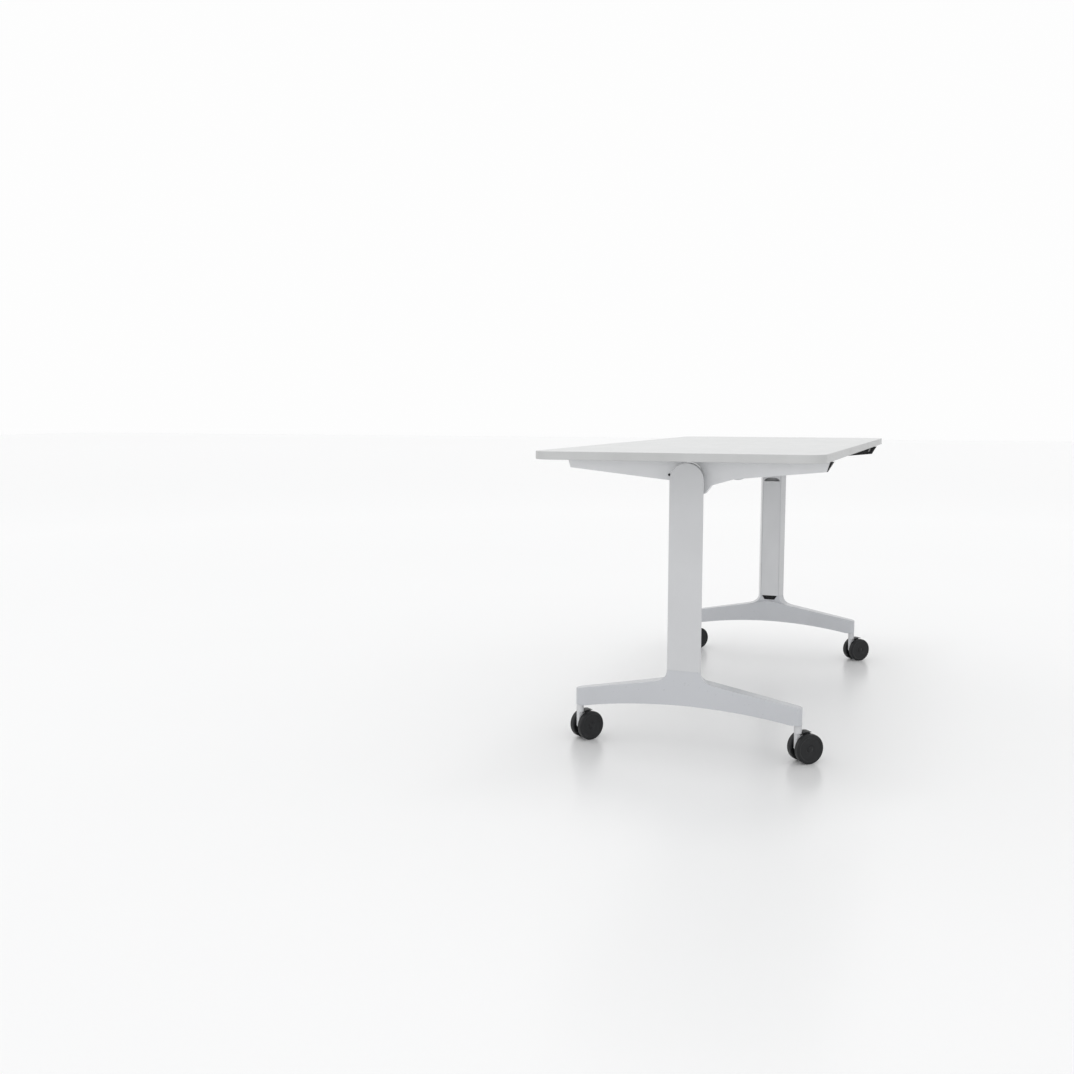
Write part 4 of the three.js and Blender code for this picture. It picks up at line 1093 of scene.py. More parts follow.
@dataclass
class Leg:
    """A foot, its column with the cover, and the neck that takes the cross tube."""

    outer_x: float = 640.0
    inner_x: float = 606.0
    outer_half: float = 43.5
    inner_half: float = 32.5
    wall: float = 3.0
    head_z: float = 687.0
    base_z: float = 210.0
    base_web: float = 30.0
    cover_half: float = 29.0
    cover_thickness: float = 2.7
    cover_top: float = 645.0
    slot_half: float = 27.0
    slot_z: float = 612.0
    slot_height: float = 12.0
    exit_half: float = 26.0
    exit_floor_half: float = 17.0
    exit_height: float = 14.0
    exit_depth: float = 11.0
    foot_half: float = 291.0
    foot_end_half: float = 14.0
    foot_middle: float = 42.0
    foot_middle_half: float = 80.0
    foot_x: float = 616.0
    under_z: float = 95.0
    end_depth: float = 43.0
    top_rise: float = 0.185
    arch_rise: float = 26.0
    pad: float = 27.0
    fillet: float = 34.0
    bolt_inset: float = 12.5
    bolt_recess: float = 6.0
    neck_radius: float = 31.0
    neck_end_radius: float = 27.0
    neck_straight: float = 28.0
    neck_length: float = 50.0
    tube_radius: float = 22.5
    bore_depth: float = 19.0
    lug_inner: float = 562.5
    lug_outer: float = 577.5
    lug_radius: float = 13.0
    pivot: Point = (53.0, 698.0)
    pin_radius: float = 5.0
    pin_end_radius: float = 3.0
    ledge_start: float = 25.0
    ledge_half: float = 6.0
    ledge_inner: float = 581.0
    ledge_outer: float = 591.0
    latch_angle: float = math.degrees(math.atan2(42, 262))

    @property
    def arch_z(self) -> float:
        """Height of the underside at mid length."""
        return self.under_z + self.arch_rise

    @property
    def head(self) -> Point:
        """Centre of the half-round head, across the table and up."""
        return 0.0, self.head_z

    def top_at(self, y: float) -> float:
        """Height of the top of the foot at a place along it."""
        return self.under_z + self.end_depth + self.top_rise * (self.foot_half - abs(y))

    def _arch(self) -> list[Point]:
        """The curve under the foot, from rear to front."""
        reach = self.foot_half - self.pad
        pull = 2 * self.arch_z - self.under_z
        return bend((-reach, self.under_z), (0, pull), (reach, self.under_z), 40)

    def _foot_side(self) -> list[Point]:
        """The foot from the side."""
        half, end = self.foot_half, self.under_z + self.end_depth
        return [
            (-half, self.under_z), *self._arch(), (half, self.under_z), (half, end),
            (0, self.top_at(0)), (-half, end),
        ]

    def _foot_plan(self) -> list[Point]:
        """The foot from above."""
        middle, end_y = self.foot_middle_half, self.foot_half - self.foot_end_half
        inner = self.outer_x - self.foot_middle
        return [
            (self.outer_x, -middle), (self.outer_x, middle),
            *arc((self.foot_x, end_y), self.foot_end_half, 0, 180, 20),
            (inner, middle), (inner, -middle),
            *arc((self.foot_x, -end_y), self.foot_end_half, 180, 360, 20),
        ]

    def _foot_neck(self, half: float, over: float) -> list[Point]:
        """The flare from the foot up into the column.

        Args:
            half: Half the column's width here.
            over: How far the flare runs past the joint with the column.

        Returns:
            The outline.
        """
        top, flare, corner = self.base_z + over, half + self.fillet, self.top_at(half)
        rise = min(corner + self.fillet, self.base_z - HAIR)
        right = bend((flare, self.top_at(flare)), (half, corner), (half, rise), 14)
        left = [(-y, z) for y, z in reversed(right)]
        low = self.arch_z + 2.0
        return [(-flare, low), (flare, low), *right, (half, top), (-half, top), *left]

    def foot(self) -> Solid:
        """The cast foot, softly rounded, with its cable exit."""
        over = 6.0
        inner = self.outer_x - self.foot_middle
        beam = Solid.prism(Axis.X, self._foot_side(), inner, self.outer_x).keep(
            Solid.prism(Axis.Z, self._foot_plan(), self.under_z - 1, self.base_z)
        )
        neck = Solid.stacked([
            [Axis.X.at(y, z, self.inner_x) for y, z in self._foot_neck(self.inner_half, over)],
            [Axis.X.at(y, z, self.outer_x) for y, z in self._foot_neck(self.outer_half, over)],
        ])
        bolt = (self.outer_x - self.bolt_inset, 0.0)
        recess = Solid.bar(Axis.Z, 7.3, bolt, self.under_z, self.arch_z + 14.3)
        floor = self.base_z - self.exit_height
        lip = floor + (self.exit_half - self.exit_floor_half) / 9 * 14
        way = softened([
            (-self.exit_floor_half, floor, 2.5), (self.exit_floor_half, floor, 2.5),
            (self.exit_half, lip, 0), (self.exit_half, self.base_z + over + 1, 0),
            (-self.exit_half, self.base_z + over + 1, 0), (-self.exit_half, lip, 0),
        ])
        mouth = Solid.prism(Axis.X, way, inner - 1, self.inner_x + self.exit_depth)
        body = beam.join(neck).cut(recess, mouth).rounded(1.1, 3, 24)
        above = Solid.block(
            (self.inner_x - 20, -90, self.base_z - 0.15), (self.outer_x + 9, 90, self.base_z + 20)
        )
        return body.cut(above)

    def _column_outline(self, half: float, base: float) -> list[Point]:
        """The column from the end, with its half-round head."""
        return [(-half, base), (half, base), *arc(self.head, half, 0, 180, 40)]

    def column(self) -> Solid:
        """The column: round arrises, a cable channel and a doorway for the cover."""
        base, edge = self.base_z - 6, 1.8
        slope = (self.outer_half - self.inner_half) / (self.outer_x - self.inner_x)
        rings = []
        for turn in range(5):
            t = math.radians(90 * turn / 4)
            x = self.inner_x + edge * (1 - math.sin(t))
            half = self.inner_half + slope * (x - self.inner_x) - edge * (1 - math.cos(t))
            rings.append((x, half))
        rings.reverse()
        rings.sort()
        outer = []
        for turn in range(5):
            t = math.radians(90 * turn / 4)
            x = self.outer_x - edge * (1 - math.sin(t))
            half = self.outer_half - slope * (self.outer_x - x) - edge * (1 - math.cos(t))
            outer.append((x, half))
        rings += sorted(outer)
        body = Solid.stacked([
            [Axis.X.at(y, z, x) for y, z in self._column_outline(half, base)]
            for x, half in rings
        ])
        floor, roof = self.base_z + self.base_web, self.cover_top + HAIR
        near, far = self.inner_half - self.wall, self.outer_half - self.wall
        channel = Solid.stacked([
            [Vector((x, y, z)) for y, z in ((-h, floor), (h, floor), (h, roof), (-h, roof))]
            for x, h in ((self.inner_x + self.wall, near), (self.outer_x - self.wall, far))
        ])
        half = self.cover_half + HAIR
        doorway = Solid.block(
            (self.inner_x - 1, -half, base - 1), (self.inner_x + self.wall + 1, half, roof)
        )
        way = Solid.block(
            (self.inner_x - 1, -half, base - 1), (self.inner_x + self.exit_depth, half, floor + 1)
        )
        below = Solid.block(
            (self.inner_x - 9, -60, base - 9), (self.outer_x + 9, 60, self.base_z)
        )
        return body.cut(channel, doorway, way, below)

    def cover(self) -> Solid:
        """The cover over the cable channel, with its arched slot."""
        half, w = self.cover_half, self.slot_half
        plate = Solid.block(
            (self.inner_x, -half, self.base_z + 0.2),
            (self.inner_x + self.cover_thickness, half, self.cover_top),
        )
        low, high, haunch = self.slot_z, self.slot_z + self.slot_height, 0.62
        right = [(0.88 * w, low + haunch * self.slot_height, 9), (0.45 * w, high, 12)]
        left = [(-y, z, radius) for y, z, radius in reversed(right)]
        arch = softened([(-w, low, 1), (w, low, 1), *right, *left])
        slot = Solid.prism(Axis.X, arch, self.inner_x - 1, self.inner_x + 9)
        return plate.cut(slot).rounded(0.55, 2)

    def exit_liner(self) -> Solid:
        """A black tray in the cable exit, painted shade that makes the shallow pocket darker than its own shade.
        """
        floor, t = self.base_z - self.exit_height + 0.1, 0.6
        w0, w1, top = self.exit_floor_half - 0.3, self.exit_half - 0.4, self.base_z - 0.3
        whole = [(-w0, floor), (w0, floor), (w1, top), (-w1, top)]
        room = [(t - w0, floor + t), (w0 - t, floor + t), (w1 - t, top + 1), (t - w1, top + 1)]
        back = self.inner_x + self.exit_depth - 0.1
        front = self.inner_x + 0.4
        tray = Solid.prism(Axis.X, whole, front, back)
        return tray.cut(Solid.prism(Axis.X, room, front - 1, back - t))

    def neck(self) -> Solid:
        """The neck, with its pivot lug and the ledge for the latch bolt."""
        root, end = self.inner_x - HAIR, self.inner_x - self.neck_length
        bore, bore_end = self.tube_radius + HAIR, end + self.bore_depth
        profile = [
            (0, root + 5), (self.neck_radius - 2.5, root + 5), (self.neck_radius - 2.5, root),
            (self.neck_radius, root), (self.neck_radius, self.inner_x - self.neck_straight),
            (self.neck_end_radius, end), (bore, end), (bore, bore_end), (0, bore_end),
        ]
        lug = Solid.prism(
            Axis.X, strap(self.head, self.neck_end_radius, self.pivot, self.lug_radius),
            self.lug_inner, self.lug_outer,
        ).cut(Solid.bar(Axis.X, bore, self.head, self.lug_inner - 1, bore_end))
        hole = Solid.bar(
            Axis.X, self.pin_radius + HAIR, self.pivot, self.lug_inner - 1, self.lug_outer + 1
        )
        lean = Matrix.Translation((0, 0, self.head_z * MM)) @ Matrix.Rotation(
            -math.radians(self.latch_angle), 4, "X"
        )
        ledge = Solid.block(
            (self.ledge_inner - HAIR, -40, -self.ledge_half - HAIR),
            (self.ledge_outer, -self.ledge_start + HAIR, 40),
        ).moved(lean)
        return Solid.turned(Axis.X, profile, self.head).join(lug).cut(hole, ledge).rounded(0.8, 2)

    def pivot_pin(self) -> Solid:
        """The pivot pin, with the small domed end that shows beside the column."""
        shoulder, inner, end = self.inner_x - 5.0, self.lug_inner, self.pin_end_radius
        dome = [(end * math.cos(t), self.inner_x - 1.9 + 1.2 * math.sin(t))
                for t in (math.radians(a) for a in (0, 25, 50, 75))]
        profile = [
            (0, inner), (self.pin_radius - 0.6, inner), (self.pin_radius, inner + 0.6),
            (self.pin_radius, shoulder), (end, shoulder), *dome, (0, self.inner_x - 0.7),
        ]
        return Solid.turned(Axis.X, profile, self.pivot, 40)

    def build(self, shop: Workshop, side: Side) -> None:
        """Makes the pieces of one leg.

        Args:
            shop: Where pieces are made.
            side: Which leg.
        """
        word = side.word
        shop.piece(
            f"{word}_foot_casting", self.foot().on(side).shaded(32), "foot_paint", "frame",
            [f"{word}_foot"],
        )
        shop.piece(
            f"{word}_column_shell", self.column().on(side).shaded(32), "frame_paint", "frame",
            [f"{word}_column"],
        )
        shop.piece(
            f"{word}_cable_cover", self.cover().on(side).shaded(), "grey_plastic", "frame",
            [f"{word}_column_cover"],
        )
        shop.piece(
            f"{word}_neck", self.neck().on(side).shaded(), "frame_paint", "frame",
            [f"{word}_column_head"], "painted_light_coat",
        )
        shop.piece(
            f"{word}_pivot", self.pivot_pin().on(side).shaded(), "black_metal", "frame",
            [f"{word}_pivot_pin"],
        )
        # painted shade: a black tray that darkens the cable exit
        shop.piece(
            f"{word}_exit_liner", self.exit_liner().on(side).shaded(), "black_plastic", "frame"
        )


@dataclass
class CrossTube:
    """The tube between the necks and the ring that bears the middle of the worktop."""

    radius: float = 22.5
    wall: float = 2.5
    reach: float = 574.7
    centre_z: float = 687.0
    ring_radius: float = 44.0
    ring_top: float = 739.7
    ring_width: float = 18.0
    rim: float = 6.5
    web: float = 15.0

    def tube(self) -> Solid:
        """The tube, with broken ends."""
        r, bore, brk = self.radius, self.radius - self.wall, 0.5
        profile = [
            (bore, -self.reach), (r - brk, -self.reach), (r, brk - self.reach),
            (r, self.reach - brk), (r - brk, self.reach), (bore, self.reach),
            (bore, -self.reach),
        ]
        return Solid.turned(Axis.X, profile, (0, self.centre_z), 72)

    def ring(self) -> Solid:
        """The ring: a rim round a slightly thinner web with the tube's hole."""
        half, middle = self.ring_width / 2, (0.0, self.ring_top - self.ring_radius)
        inner, tube = self.ring_radius - self.rim, (0.0, self.centre_z)
        recesses = [
            Solid.bar(Axis.X, inner, middle, start, end, 80)
            for start, end in ((-half - 1, -self.web / 2), (self.web / 2, half + 1))
        ]
        bore = Solid.bar(Axis.X, self.radius + HAIR, tube, -half - 1, half + 1, 72)
        body = Solid.bar(Axis.X, self.ring_radius, middle, -half, half, 96)
        return body.cut(*recesses, bore).rounded(1.0, 3)

    def build(self, shop: Workshop) -> None:
        """Makes the pieces.

        Args:
            shop: Where pieces are made.
        """
        shop.piece(
            "tie_tube", self.tube().shaded(), "frame_paint", "frame", ["cross_tube"], "painted_light_coat"
        )
        shop.piece(
            "bearer_ring", self.ring().shaded(), "grey_plastic", "frame", ["tube_support_ring"]
        )


@dataclass
class Arm:
    """An arm under the worktop, hooked over the neck, with the latch in its inner side."""

    outer_x: float = 603.0
    inner_x: float = 581.0
    rear: float = 323.0
    front: float = 339.0
    slant: float = 8.0
    underside: float = 740.0
    end_depth: float = 28.0
    root_depth: float = 54.0
    root_y: float = 67.0
    knee_depth: float = 49.9
    knee_y: float = 110.0
    hook_depth: float = 66.6
    hook_y: float = 53.0
    tip_depth: float = 87.0
    tip_y: float = 37.8
    notch_front: float = 33.6
    notch_rear: float = 39.0
    notch_rise: float = 7.5
    skin: float = 1.8
    skin_hole: float = 3.3
    head_z: float = 687.0
    pivot: Point = (53.0, 698.0)
    lug_radius: float = 13.0
    pivot_hole: float = 7.6
    groove_x: float = 591.0
    bolt_half: float = 6.3
    bolt_start: float = 25.0
    chamber_end: float = 109.6
    rod_half: float = 2.8
    rebate_y: float = -250.0
    cheek: float = 2.7
    lever_y: float = 262.0
    lever_pin: Point = (-262.0, 712.0)
    latch_angle: float = math.degrees(math.atan2(42, 262))
    pin_radius: float = 5.0
    pad_width: float = 10.0
    pad_start: float = 35.0
    pad_end: float = 184.0
    pad_fall: float = 0.4
    neck_radius: float = 31.0
    screw_x: float = 596.8
    screw_places: tuple[float, float] = (180.0, -150.0)
    screw_head_radius: float = 4.5
    screw_seat: float = 8.0
    screw_radius: float = 2.5
    screw_bite: float = 13.0

    def _outline(self) -> list[Point]:
        """The arm from the side, with softened corners."""
        def under(depth: float) -> float:
            """Height of a depth under the worktop."""
            return self.underside - depth

        return softened([
            (self.rear, self.underside - HAIR, 0), (-self.front, self.underside - HAIR, 0),
            (self.slant - self.front, under(self.end_depth), 1.5),
            (-self.knee_y, under(self.knee_depth), 40), (-self.hook_y, under(self.hook_depth), 5),
            (-self.tip_y, under(self.tip_depth), 1.2),
            (0, under(self.tip_depth), 0), (0, self.pivot[1] - self.lug_radius, 0),
            (self.pivot[0], self.pivot[1] - self.lug_radius, 2),
            (self.root_y, under(self.root_depth), 8),
            (self.rear - self.slant, under(self.end_depth), 1.5),
        ])

    @property
    def _notch_end(self) -> tuple[Point, float]:
        """Centre and radius of the notch's round end."""
        middle = (self.notch_rear - self.notch_front) / 2
        return (middle, self.head_z + self.notch_rise), (self.notch_rear + self.notch_front) / 2

    def _notch(self) -> list[Point]:
        """The opening that fits over the neck."""
        centre, radius = self._notch_end
        low = self.underside - self.tip_depth - 9
        over = arc(centre, radius, 0, 180, 48)
        return [(-self.notch_front, low), (self.notch_rear, low), *over]

    def _along_latch(self) -> Matrix:
        """From the latch's own frame to the table's."""
        return Matrix.Translation((0, 0, self.head_z * MM)) @ Matrix.Rotation(
            -math.radians(self.latch_angle), 4, "X"
        )

    def _channel(self, half: float, start: float, end: float) -> Solid:
        """A slot along the latch line, in from the arm's inner face."""
        return Solid.block(
            (self.inner_x - 1, -end, -half), (self.groove_x, -start, half)
        ).moved(self._along_latch())

    def arm(self) -> Solid:
        """The arm with its notch, its latch channel and the room for the lever."""
        past = (self.inner_x - 1, self.outer_x + 1)
        body = Solid.prism(Axis.X, self._outline(), self.inner_x, self.outer_x)
        skin = self.outer_x - self.skin
        notch = Solid.prism(Axis.X, self._notch(), *past)
        hole = Solid.bar(Axis.X, self.pivot_hole, self.pivot, past[0], skin, 40)
        outer_hole = Solid.bar(Axis.X, self.skin_hole, self.pivot, *past, 32)
        room = Solid.block(
            (past[0], -self.front - 9, self.underside - self.tip_depth),
            (self.outer_x - self.cheek, self.rebate_y, self.underside + 9),
        )
        chamber = self._channel(self.bolt_half, self.bolt_start, self.chamber_end)
        rod = self._channel(self.rod_half, self.chamber_end - 1, self.lever_y)
        wells = [
            Solid.bar(
                Axis.Z, self.screw_head_radius + HAIR, (self.screw_x, y), 640,
                self.underside - self.screw_seat, 32,
            )
            for y in self.screw_places
        ]
        return body.cut(
            notch, hole, outer_hole, room, chamber, rod, *wells
        ).rounded(0.6, 2)

    def bush(self) -> Solid:
        """The bearing bush behind the arm's outer skin."""
        bore, outer, ease = self.pin_radius + HAIR, self.pivot_hole - HAIR, 0.4
        low, high = self.inner_x, self.outer_x - self.skin - HAIR
        return Solid.turned(Axis.X, [
            (bore, low), (outer - ease, low), (outer, low + ease), (outer, high - ease),
            (outer - ease, high), (bore, high), (bore, low),
        ], self.pivot, 40)

    def rest_pad(self) -> Solid:
        """The rubber saddle on the neck, which fills the notch and falls to the cross tube."""
        (middle, _), radius = self._notch_end
        neck, rings = self.neck_radius + HAIR, []
        for x, share in ((self.outer_x - self.pad_width, self.pad_fall), (self.outer_x, 1.0)):
            centre = (middle * share, self.head_z + self.notch_rise * share)
            bulge = self.neck_radius + (radius - 2 * HAIR - self.neck_radius) * share
            crown = arc(centre, bulge, self.pad_start, self.pad_end, 48)
            saddle = arc((0, self.head_z), neck, self.pad_end - 6, self.pad_start, 48)
            rings.append([Axis.X.at(y, z, x) for y, z in crown + saddle])
        return Solid.stacked(rings).rounded(0.4, 2)

    def well_plugs(self) -> Solid:
        """The plugs that close the screw wells in the arm's lower edge."""
        plugs = []
        for y in self.screw_places:
            low = self.underside - self._depth_at(y) + 0.5
            r = self.screw_head_radius + 0.1
            plugs.append(Solid.turned(
                Axis.Z, [(0, low), (r - 0.5, low), (r, low + 0.5), (r, low + 3), (0, low + 3)],
                (self.screw_x, y), 32,
            ))
        return together(*plugs)

    def _depth_at(self, y: float) -> float:
        """How far below the worktop the arm's lower edge is, outside the hook."""
        if y > 0:
            run = (y - self.root_y) / (self.rear - self.slant - self.root_y)
            return self.root_depth + (self.end_depth - self.root_depth) * run
        run = (-y - self.knee_y) / (self.front - self.slant - self.knee_y)
        return self.knee_depth + (self.end_depth - self.knee_depth) * run

    def build(self, shop: Workshop, side: Side) -> None:
        """Makes one arm.

        Args:
            shop: Where pieces are made.
            side: Which arm.
        """
        word = side.word
        # the arm wears the lighter copy of the frame paint, painted light against the shade under the worktop
        shop.piece(
            f"{word}_arm_casting", self.arm().on(side).shaded(), "frame_paint", "top",
            [f"{word}_arm"], "painted_light_coat",
        )
        shop.piece(
            f"{word}_well_plugs", self.well_plugs().on(side).shaded(), "grey_plastic", "top"
        )
        shop.piece(
            f"{word}_bearing_bush", self.bush().on(side).shaded(), "bronze", "top",
            [f"{word}_pivot_bush"],
        )
        shop.piece(
            f"{word}_neck_pad", self.rest_pad().on(side).shaded(), "rubber", "frame",
            [f"{word}_rest_pad"],
        )


@dataclass
class Latch:
    """The release lever with its bar, the sprung bolt that it draws, and their cover."""

    underside: float = 740.0
    outer: float = 600.0
    arm_outer_x: float = 603.0
    arm_inner_x: float = 581.0
    arm_front: float = 339.0
    slant: float = 8.0
    end_depth: float = 28.0
    knee_depth: float = 50.0
    knee_y: float = 113.0
    front_thickness: float = 16.0
    tail_thickness: float = 10.0
    tail_y: float = -254.0
    top_gap: float = 3.5
    nose: float = 8.0
    bar_length: float = 86.0
    bar_height: float = 15.5
    bar_setback: float = 6.0
    bar_depth: float = 17.0
    pin: Point = (-262.0, 712.0)
    pin_radius: float = 3.0
    stud: Point = (-262.0, 729.0)
    stud_radius: float = 2.4
    latch_x: float = 586.0
    head_z: float = 687.0
    latch_angle: float = math.degrees(math.atan2(42, 262))
    bolt_width: float = 9.0
    bolt_height: float = 12.0
    bolt_start: float = 25.0
    bolt_length: float = 50.0
    spring_start: float = 75.3
    spring_length: float = 34.0
    spring_radius: float = 3.8
    spring_wire: float = 0.6
    spring_turns: float = 8.0
    slide: float = 7.0
    cover_thickness: float = 1.5
    cover_lap: float = 5.0
    cover_start: float = 52.0
    cover_end: float = 250.0

    def _along_latch(self) -> Matrix:
        """From the latch's own frame to the table's."""
        return Matrix.Translation((0, 0, self.head_z * MM)) @ Matrix.Rotation(
            -math.radians(self.latch_angle), 4, "X"
        )

    def lever(self) -> Solid:
        """The lever: a leg inside the arm's cheek, a nose in front of it and a bar to pull."""
        top, bottom = self.underside - self.top_gap, self.underside - self.end_depth
        front, tail = self.outer - self.front_thickness, self.outer - self.tail_thickness
        foot_y = self.slant - self.arm_front - HAIR
        lean = self.slant / (self.end_depth - HAIR)
        head_y = foot_y - lean * (top - bottom)
        slope = (self.knee_depth - self.end_depth) / (self.arm_front - self.slant - self.knee_y)
        tail_low = bottom - slope * (self.tail_y - foot_y)
        plan = [
            (self.outer, head_y - self.nose), (self.outer, self.tail_y), (tail, self.tail_y),
            (front, foot_y), (front, head_y - self.nose),
        ]
        side = [(head_y, top), (foot_y, bottom), (self.tail_y, tail_low), (self.tail_y, top)]
        leg = Solid.prism(Axis.Z, plan, tail_low, top).keep(
            Solid.prism(Axis.X, side, front, self.outer)
        )
        nose = Solid.prism(Axis.X, [
            (head_y, top), (head_y - self.nose, top), (foot_y - HAIR, bottom), (foot_y, bottom),
        ], front, self.arm_outer_x)
        low = top - self.bar_height
        bar_head = head_y + self.bar_setback
        bar_foot = foot_y - lean * (low - bottom) + self.bar_setback
        section = softened([
            (bar_head, top, 2.5), (bar_foot, low, 4), (bar_foot + self.bar_depth, low, 4),
            (bar_head + self.bar_depth, top, 2.5),
        ])
        handle = Solid.prism(Axis.X, section, front - self.bar_length, front + 1)
        hole = Solid.bar(
            Axis.X, self.pin_radius + HAIR, self.pin, front - 5, self.arm_outer_x + 1, 32
        )
        stud = Solid.bar(
            Axis.X, self.stud_radius, self.stud, self.latch_x - 4, self.outer - 1, 32
        )
        return leg.join(nose, handle).cut(hole).rounded(0.9, 3).join(stud)

    def bolt(self) -> Solid:
        """The latch bolt, with an eased tip."""
        w, h = self.bolt_width / 2, self.bolt_height / 2
        near, far = self.bolt_start, self.bolt_start + self.bolt_length
        outline = [(-far, -h), (-near, -h), (-near, h - 3), (-near - 3, h), (-far, h)]
        return Solid.prism(
            Axis.X, outline, self.latch_x - w, self.latch_x + w
        ).rounded(0.7, 2).moved(self._along_latch())

    def cover(self) -> Solid:
        """The plate that keeps the bolt and the spring in the arm."""
        half, ease = self.bolt_height / 2 + self.cover_lap, math.cos(
            math.radians(self.latch_angle)
        )
        near, far = self.cover_start / ease, self.cover_end / ease - HAIR
        outline = softened([
            (-far, -half, 4), (-near, -half, 4), (-near, half, 4), (-far, half, 4),
        ])
        outer = self.arm_inner_x - HAIR
        return Solid.prism(
            Axis.X, outline, outer - self.cover_thickness, outer
        ).rounded(0.35, 2).moved(self._along_latch())

    def spring(self, tree: SpringTree) -> Solid:
        """The spring behind the bolt, wound by its tree.

        Args:
            tree: The winding.

        Returns:
            The spring in its place.
        """
        run = self.spring_length - 2 * self.spring_wire
        mesh = tree.grown([], {
            "Turns": self.spring_turns, "Radius": self.spring_radius * MM,
            "Length": run * MM, "Wire Radius": self.spring_wire * MM,
        })
        start = self.spring_start + self.spring_wire
        lay = Matrix.Translation((self.latch_x * MM, -start * MM, 0)) @ Matrix.Rotation(
            math.radians(90), 4, "X"
        )
        mesh.transform(self._along_latch() @ lay)
        return Solid(mesh)

    def cover_screws(self, tree: ScrewTree) -> Solid:
        """Four small screws through the latch cover.

        Args:
            tree: The screws' tree.

        Returns:
            The screws, with their heads on the cover's inner face.
        """
        half = self.bolt_height / 2 + self.cover_lap / 2
        rows = [(-along, high) for along in (66.0, 150.0, 236.0) for high in (-half,)]
        rows += [(-along, high) for along in (66.0, 236.0) for high in (half,)]
        face = self.arm_inner_x - HAIR - self.cover_thickness
        mesh = tree.grown(
            [Vector((high * MM, along * MM, 0)) for along, high in rows],
            {
                "Head Radius": 1.9 * MM, "Head Height": 0.9 * MM, "Key Radius": 0.9 * MM,
                "Shank Radius": 0.9 * MM, "Shank Length": 4 * MM,
            },
        )
        turn = Matrix(((0, 0, 1, 0), (0, 1, 0, 0), (-1, 0, 0, 0), (0, 0, 0, 1)))
        stand = Matrix.Translation(((face - 0.45) * MM, 0, 0)) @ turn
        mesh.transform(self._along_latch() @ stand)
        return Solid(mesh)

    def build(
        self, shop: Workshop, side: Side, springs: SpringTree, screws: ScrewTree
    ) -> None:
        """Makes the latch of one arm.

        Args:
            shop: Where pieces are made.
            side: Which arm.
            springs: The winding of the springs.
            screws: The tree of the screws.
        """
        word = side.word
        shop.piece(
            f"{word}_pull_lever", self.lever().on(side).shaded(), "black_plastic",
            f"{word}_lever", [f"{word}_release_lever"],
        )
        shop.piece(
            f"{word}_sprung_bolt", self.bolt().on(side).shaded(), "black_metal", f"{word}_latch",
            [f"{word}_latch_bolt"],
        )
        shop.piece(
            f"{word}_latch_plate", self.cover().on(side).shaded(), "frame_paint", "top",
            [f"{word}_latch_cover"], "painted_light_coat",
        )
        shop.piece(
            f"{word}_latch_plate_screws", self.cover_screws(screws).on(side).shaded(), "steel",
            "top",
        )
        wound = shop.piece(
            f"{word}_wound_spring", self.spring(springs).on(side).shaded(60), "steel", "top",
            [f"{word}_latch_spring"],
        )
        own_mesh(wound)


@dataclass
class Fasteners:
    """The screws and bolts that show only from below."""

    arm: Arm
    leg: Leg

    def build(self, shop: Workshop, tree: ScrewTree) -> None:
        """Makes the arm screws and the tie bolts.

        Args:
            shop: Where pieces are made.
            tree: The screws' tree.
        """
        a, g = self.arm, self.leg
        height = 3.5
        middle = a.underside - a.screw_seat - HAIR - height / 2
        screws = tree.grown(
            [Vector((s.value * a.screw_x, y, middle)) * MM for s in Side for y in a.screw_places],
            {
                "Head Radius": a.screw_head_radius * MM, "Head Height": height * MM,
                "Key Radius": 2.3 * MM, "Shank Radius": a.screw_radius * MM,
                "Shank Length": (a.screw_seat + HAIR + a.screw_bite) * MM,
            },
        )
        shop.piece(
            "arm_screws", Solid(screws).shaded(30), "steel", "top",
            [f"{s.word}_{end}_arm_screw" for s in Side for end in ("rear", "front")],
        )
        seat, height = g.arch_z + g.bolt_recess, 8.0
        bolts = tree.grown(
            [Vector((s.value * (g.outer_x - g.bolt_inset), 0, seat + height / 2)) * MM
             for s in Side],
            {
                "Head Radius": 7 * MM, "Head Height": height * MM, "Key Radius": 3.6 * MM,
                "Shank Radius": 4 * MM, "Shank Length": (g.base_z + 26 - seat - height) * MM,
            },
        )
        shop.piece(
            "tie_bolts", Solid(bolts).shaded(30), "steel", "frame",
            [f"{s.word}_tie_bolt" for s in Side],
        )


